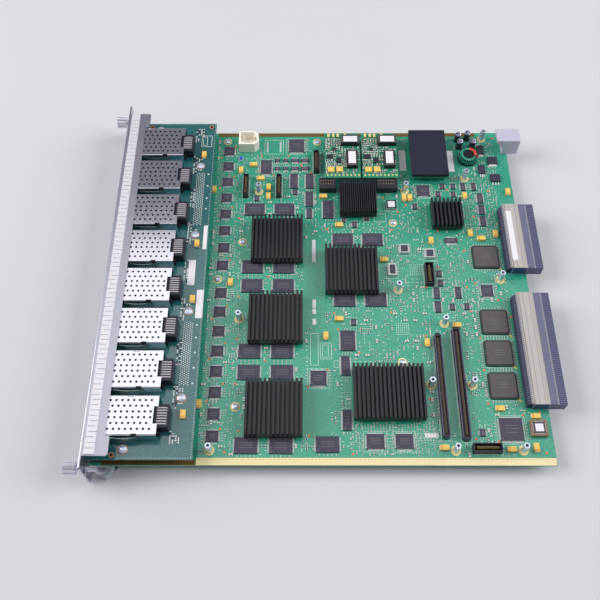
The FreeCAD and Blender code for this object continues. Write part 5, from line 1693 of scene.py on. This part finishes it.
# ------------------------------------------------------------------ front of the card
@dataclass
class Ports(Assembly):
    """Module cages, their sockets, the doors and the light pipes."""

    sheet: float = 0.4
    fold: float = 0.9
    hole_radius: float = 1.05
    hole_step: float = 4.85
    row_step: float = 5.0
    first_row: float = 5.5
    first_hole: float = 19.4
    stagger: float = 2.1
    columns: int = 8
    rows: int = 6
    staggered: tuple[int, ...] = (1, 4)
    cut_back_half: float = 7.5
    wall_sheet: float = 0.5

    def build(self) -> None:
        """Dresses every port."""
        boxes = self.card.solids("upper_cages")
        self.bench.piece("perforated_cages", Shape.join([self.cage(box) for box in boxes]), Look.CAGE,
                         replaces=["upper_cages"])
        self.bench.paint(Look.CAGE, "lower_cages")
        self.bench.paint(Look.BLACK, "port_connectors")
        self.bench.paint(Look.LIGHT_PIPE, "port_leds")
        for row in ("lower", "upper"):
            for index in range(1, len(boxes) + 1):
                self.bench.paint(Look.DOOR, f"{row}_port_door_{index}")
        self.details(boxes)
        self.sockets()

    def cage(self, box: Array) -> Shape:
        """One cage: perforated roof, folded walls, floor and the cut-back behind."""
        low, high = box
        back, top = high[0], high[2]
        near, far = low[1], high[1]
        start = self.first_hole - self.hole_step / 2
        end = start + self.columns * self.hole_step
        cells, plain = [], []
        under = top - self.sheet
        cell = plate_with_hole(self.hole_step, self.row_step, self.hole_radius, self.sheet)
        for row in range(self.rows):
            y = near + self.first_row + row * self.row_step
            shift = self.stagger if row in self.staggered else 0.0
            count = self.columns - (1 if shift else 0)
            x = self.first_hole + shift + np.arange(count) * self.hole_step
            cells.append(cell.scattered(np.column_stack([x, np.full(count, y), np.full(count, top)])))
            y0, y1 = y - self.row_step / 2, y + self.row_step / 2
            if shift:
                plain.append([(start, y0, under), (start + shift, y1, top)])
                plain.append([(start + shift + count * self.hole_step, y0, under), (end, y1, top)])
        y0 = near + self.first_row - self.row_step / 2
        y1 = y0 + self.rows * self.row_step
        middle = (near + far) / 2
        plain += [[(low[0], near + self.fold, under), (start, far - self.fold, top)],
                  [(start, near + self.fold, under), (end, y0, top)],
                  [(start, y1, under), (end, far - self.fold, top)],
                  [(end, near + self.fold, under), (back, middle - self.cut_back_half, top)],
                  [(end, middle + self.cut_back_half, under), (back, far - self.fold, top)]]
        floor = [[(low[0], near, low[2]), (back - 6.0, far, low[2] + 0.5)]]
        walls = [self.wall(low[0], back, edge, low[2], top, inward)
                 for edge, inward in ((near, 1.0), (far, -1.0))]
        return Shape.join([*cells, slabs(plain), slabs(floor), *walls])

    def wall(self, front: float, back: float, edge: float, bottom: float, top: float, inward: float) -> Shape:
        """Side wall with its rounded fold: an outer and an inner line carried along x.

        The outer line rises and turns through a quarter circle of the fold's radius, and the inner line runs
        back inside it by the wall's thickness.

        Args:
            front: the wall's front end along x.
            back: its rear end.
            edge: place of its outer face along y.
            bottom: height of its foot.
            top: height of the roof.
            inward: 1 where the roof lies towards larger y, or -1.

        Returns:
            The wall.
        """
        angles = np.linspace(0.0, np.pi / 2, 5)
        lines = []
        for inset in (0.0, self.wall_sheet):
            radius = self.fold - inset
            y = edge + inward * (self.fold - radius * np.cos(angles))
            z = top - self.fold + radius * np.sin(angles)
            y, z = np.append(edge + inward * inset, y), np.append(bottom, z)
            lines.append(np.column_stack([y, z]))
        ring = np.concatenate([lines[0], lines[1][::-1]])
        if inward > 0:
            ring = ring[::-1]
        rings = np.stack([np.column_stack([np.full(len(ring), x), ring]) for x in (front, back)])
        shape = Shape.grid(rings, closed=True)
        count = len(ring)
        half = count // 2
        pairs = np.arange(half - 1)
        first = np.stack([pairs, count - 1 - pairs, count - 2 - pairs, pairs + 1], axis=1)
        shape.quads = np.concatenate([shape.quads, first, first[:, ::-1] + count])
        return shape

    def details(self, boxes: Array) -> None:
        """Leaf springs between the cages, latch notches in the near folds and crimps in the far ones. A dark
        sheet under each perforated roof, the notches and the crimps are painted shade.
        """
        t = np.linspace(0.0, 1.0, 9)
        across, lift = np.array([0.0, 0.0, 7.0, 7.0]), np.array([0.0, 0.35, 0.35, 0.0])
        leaf = np.stack([np.stack([np.full(4, 27.0 * u), -1.5 * np.sin(np.pi * u) + lift, across], axis=1)
                         for u in t])
        springs, notch_shades, crimps, roof_shade_sheets = [], [], [], []
        for low, high in boxes:
            # Dark sheet just under the roof: painted shade seen through the holes.
            roof_shade_sheets.append([(low[0] + 3.0, low[1] + 1.0, high[2] - 2.0),
                           (high[0] - 5.0, high[1] - 1.0, high[2] - 1.8)])
            springs.append(Shape.loft(leaf).moved((18.0, low[1] - 0.5, high[2] - 9.5)))
            # Dark slab in each latch notch: painted shade.
            notch_shades.append([(38.8, low[1] - 0.02, high[2] - 1.4), (43.4, low[1] + 1.5, high[2] + 0.02)])
            # The crimps take darker nickel: painted shade in their dents.
            crimps += [[(x, high[1] - 1.9, high[2] - SEAT), (x + 0.7, high[1] - 1.2, high[2] + 0.02)]
                       for x in (33.4, 34.8, 36.2, 37.6)]
        self.bench.piece("cage_liners", slabs(roof_shade_sheets), Look.HOLE)
        self.bench.piece("cage_springs", Shape.join(springs), Look.CAGE_SPRING)
        self.bench.piece("cage_notches", slabs(notch_shades), Look.HOLE)
        self.bench.piece("cage_crimps", slabs(crimps), Look.CAGE_INSIDE)

    def sockets(self) -> None:
        """Module sockets: a comb of curved contacts on top, a raised collar and a dark peg."""
        boxes = self.card.solids("port_connectors")
        combs, collars = [], []
        rib = strip(np.array([(0.0, 0.0), (0.5, 0.4), (5.4, 0.5), (8.2, 0.2), (8.6, -0.25)]), 1.15, 0.16)
        peg = turned([(0.0, 0.0), (1.9, 0.0), (1.9, 5.4), (1.5, 6.0), (0.0, 6.0)], 20)
        pegs = []
        for low, high in boxes[boxes[:, 0, 2] > 10.0]:
            y = (low[1] + high[1]) / 2 + centred(7, 2.3)
            combs.append(rib.scattered(raised(np.column_stack([np.full_like(y, high[0] - 9.7), y]), high[2])))
            step, rear, foot = high[0] - 9.9, high[0] - 0.4, high[2] - SEAT
            collars += [[(high[0] - 11.3, low[1], foot), (step, high[1], high[2] + 0.5)],
                        [(step, high[1] - 1.9, foot), (rear, high[1] - 0.3, high[2] + 0.5)],
                        [(step, low[1] + 0.3, foot), (rear, low[1] + 1.9, high[2] + 0.4)]]
            pegs.append(peg.moved((high[0] - 8.8, low[1] - 2.3, low[2] + 0.02)))
        self.bench.piece("port_socket_combs", Shape.join(combs), Look.COMB)
        self.bench.piece("port_socket_collars", slabs(collars), Look.BLACK)
        self.bench.piece("port_socket_pegs", Shape.join(pegs), Look.HOLE, smooth=True)


@dataclass
class Painted(Assembly):
    """Nodes that keep their solids' shape and only take a finish."""

    finishes: tuple[tuple[Finish, tuple[str, ...]], ...] = (
        (Look.PLATE, ("faceplate",)), (Look.SPRING, ("emi_gasket",)),
        (Look.BRACKET, ("mounting_brackets", "lever_pins", "retaining_ring_near", "retaining_ring_far")),
        (Look.LEVER, ("ejector_lever_near", "ejector_lever_far")),
        (Look.KNOB, ("captive_screw_near", "captive_screw_far")),
        (Look.SINK, ("heat_sinks",)), (Look.CHIP_DARK, ("heat_sink_chips",)),
        (Look.NYLON, ("power_header",)), (Look.GUIDE, ("guide_block",)))

    def build(self) -> None:
        """Paints every node of the table."""
        for finish, nodes in self.finishes:
            self.bench.paint(finish, *nodes)


# ------------------------------------------------------------------ studio
@dataclass
class Studio(Assembly):
    """Pale floor, an overhead light that the near half of the card mirrors, side fills and the camera."""

    floor_half: float = 9.0
    eye: tuple[float, float, float] = (179.18, -198.54, 623.85)
    focal: float = 46.66
    sensor: float = 36.0
    pitch: float = 1.05322175
    roll: float = -0.0100836956
    yaw: float = -0.0115028810

    def build(self) -> None:
        """Builds the studio."""
        self.floor()
        self.world()
        self.lamp("overhead", (0.0, 0.82, 2.05), (0.0, 0.82, 0.0), (1.8, 1.16), 6.6)
        self.lamp("fill_left", (-2.4, 0.2, 1.7), (0.0, 0.0, 0.0), (2.0, 2.0), 60.0)
        self.lamp("fill_right", (2.4, 0.2, 1.7), (0.0, 0.0, 0.0), (2.0, 2.0), 60.0)
        self.camera()

    def floor(self) -> None:
        """Flat floor under the card."""
        edge = self.floor_half
        corners = [(-edge, -edge, 0), (edge, -edge, 0), (edge, edge, 0), (-edge, edge, 0)]
        mesh = bpy.data.meshes.new("studio_floor")
        mesh.from_pydata(corners, [], [(0, 1, 2, 3)])
        mesh.materials.append(Look.FLOOR.material())
        thing = bpy.data.objects.new("studio_floor", mesh)
        bpy.context.scene.collection.objects.link(thing)
        thing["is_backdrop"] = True

    def world(self) -> None:
        """Plain cool surround."""
        world = bpy.data.worlds.new("surround")
        world.use_nodes = True
        tree = Tree(world.node_tree)
        back = tree.add("ShaderNodeBackground", {"Color": (0.90, 0.90, 1.0, 1.0), "Strength": 0.21})
        tree.add("ShaderNodeOutputWorld", {"Surface": back.outputs[0]})
        bpy.context.scene.world = world

    def lamp(self, name: str, place: Sequence[float], target: Sequence[float], size: tuple[float, float],
             power: float) -> None:
        """One rectangular soft light aimed at a target."""
        data = bpy.data.lights.new(name, "AREA")
        data.shape, data.size, data.size_y, data.energy = "RECTANGLE", size[0], size[1], power
        thing = bpy.data.objects.new(name, data)
        aim = Vector(place) - Vector(target)
        thing.matrix_world = Matrix.Translation(place) @ aim.to_track_quat("Z", "Y").to_matrix().to_4x4()
        bpy.context.scene.collection.objects.link(thing)
        thing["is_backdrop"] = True

    def camera(self) -> None:
        """Camera from its eye, pitch, yaw and roll."""
        level = math.cos(self.pitch)
        forward = np.array([math.sin(self.yaw) * level, math.cos(self.yaw) * level, -math.sin(self.pitch)])
        right = np.array([math.cos(self.yaw), -math.sin(self.yaw), 0.0])
        up = np.cross(right, forward)
        rolled_right = math.cos(self.roll) * right + math.sin(self.roll) * up
        rolled_up = -math.sin(self.roll) * right + math.cos(self.roll) * up
        data = bpy.data.cameras.new("camera")
        data.lens, data.sensor_width = self.focal, self.sensor
        thing = bpy.data.objects.new("camera", data)
        matrix = np.eye(4)
        matrix[:3, 0], matrix[:3, 1], matrix[:3, 2] = rolled_right, rolled_up, -forward
        matrix[:3, 3] = self.card.metres(np.array(self.eye))
        thing.matrix_world = Matrix(matrix.tolist())
        bpy.context.scene.collection.objects.link(thing)
        bpy.context.scene.camera = thing


def corners(bounds: Any) -> list[list[float]]:
    """A box's two corners as plain numbers."""
    return [[float(value) for value in corner] for corner in bounds]


def main() -> None:
    """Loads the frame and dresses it."""
    logging.basicConfig(level=logging.INFO, format="%(message)s")
    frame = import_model()
    cad_size = corners(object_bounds())
    bench = Bench(Card.read(frame))
    for assembly in (Boards, SmallParts, Chips, PowerParts, Connectors, Ports, Painted, Studio):
        assembly(bench).build()
        LOG.info("%s done", assembly.__name__)
    bpy.context.scene.view_settings.view_transform = "Standard"
    {"cad": cad_size, "visual": corners(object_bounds())}


if __name__ == "__main__":
    main()
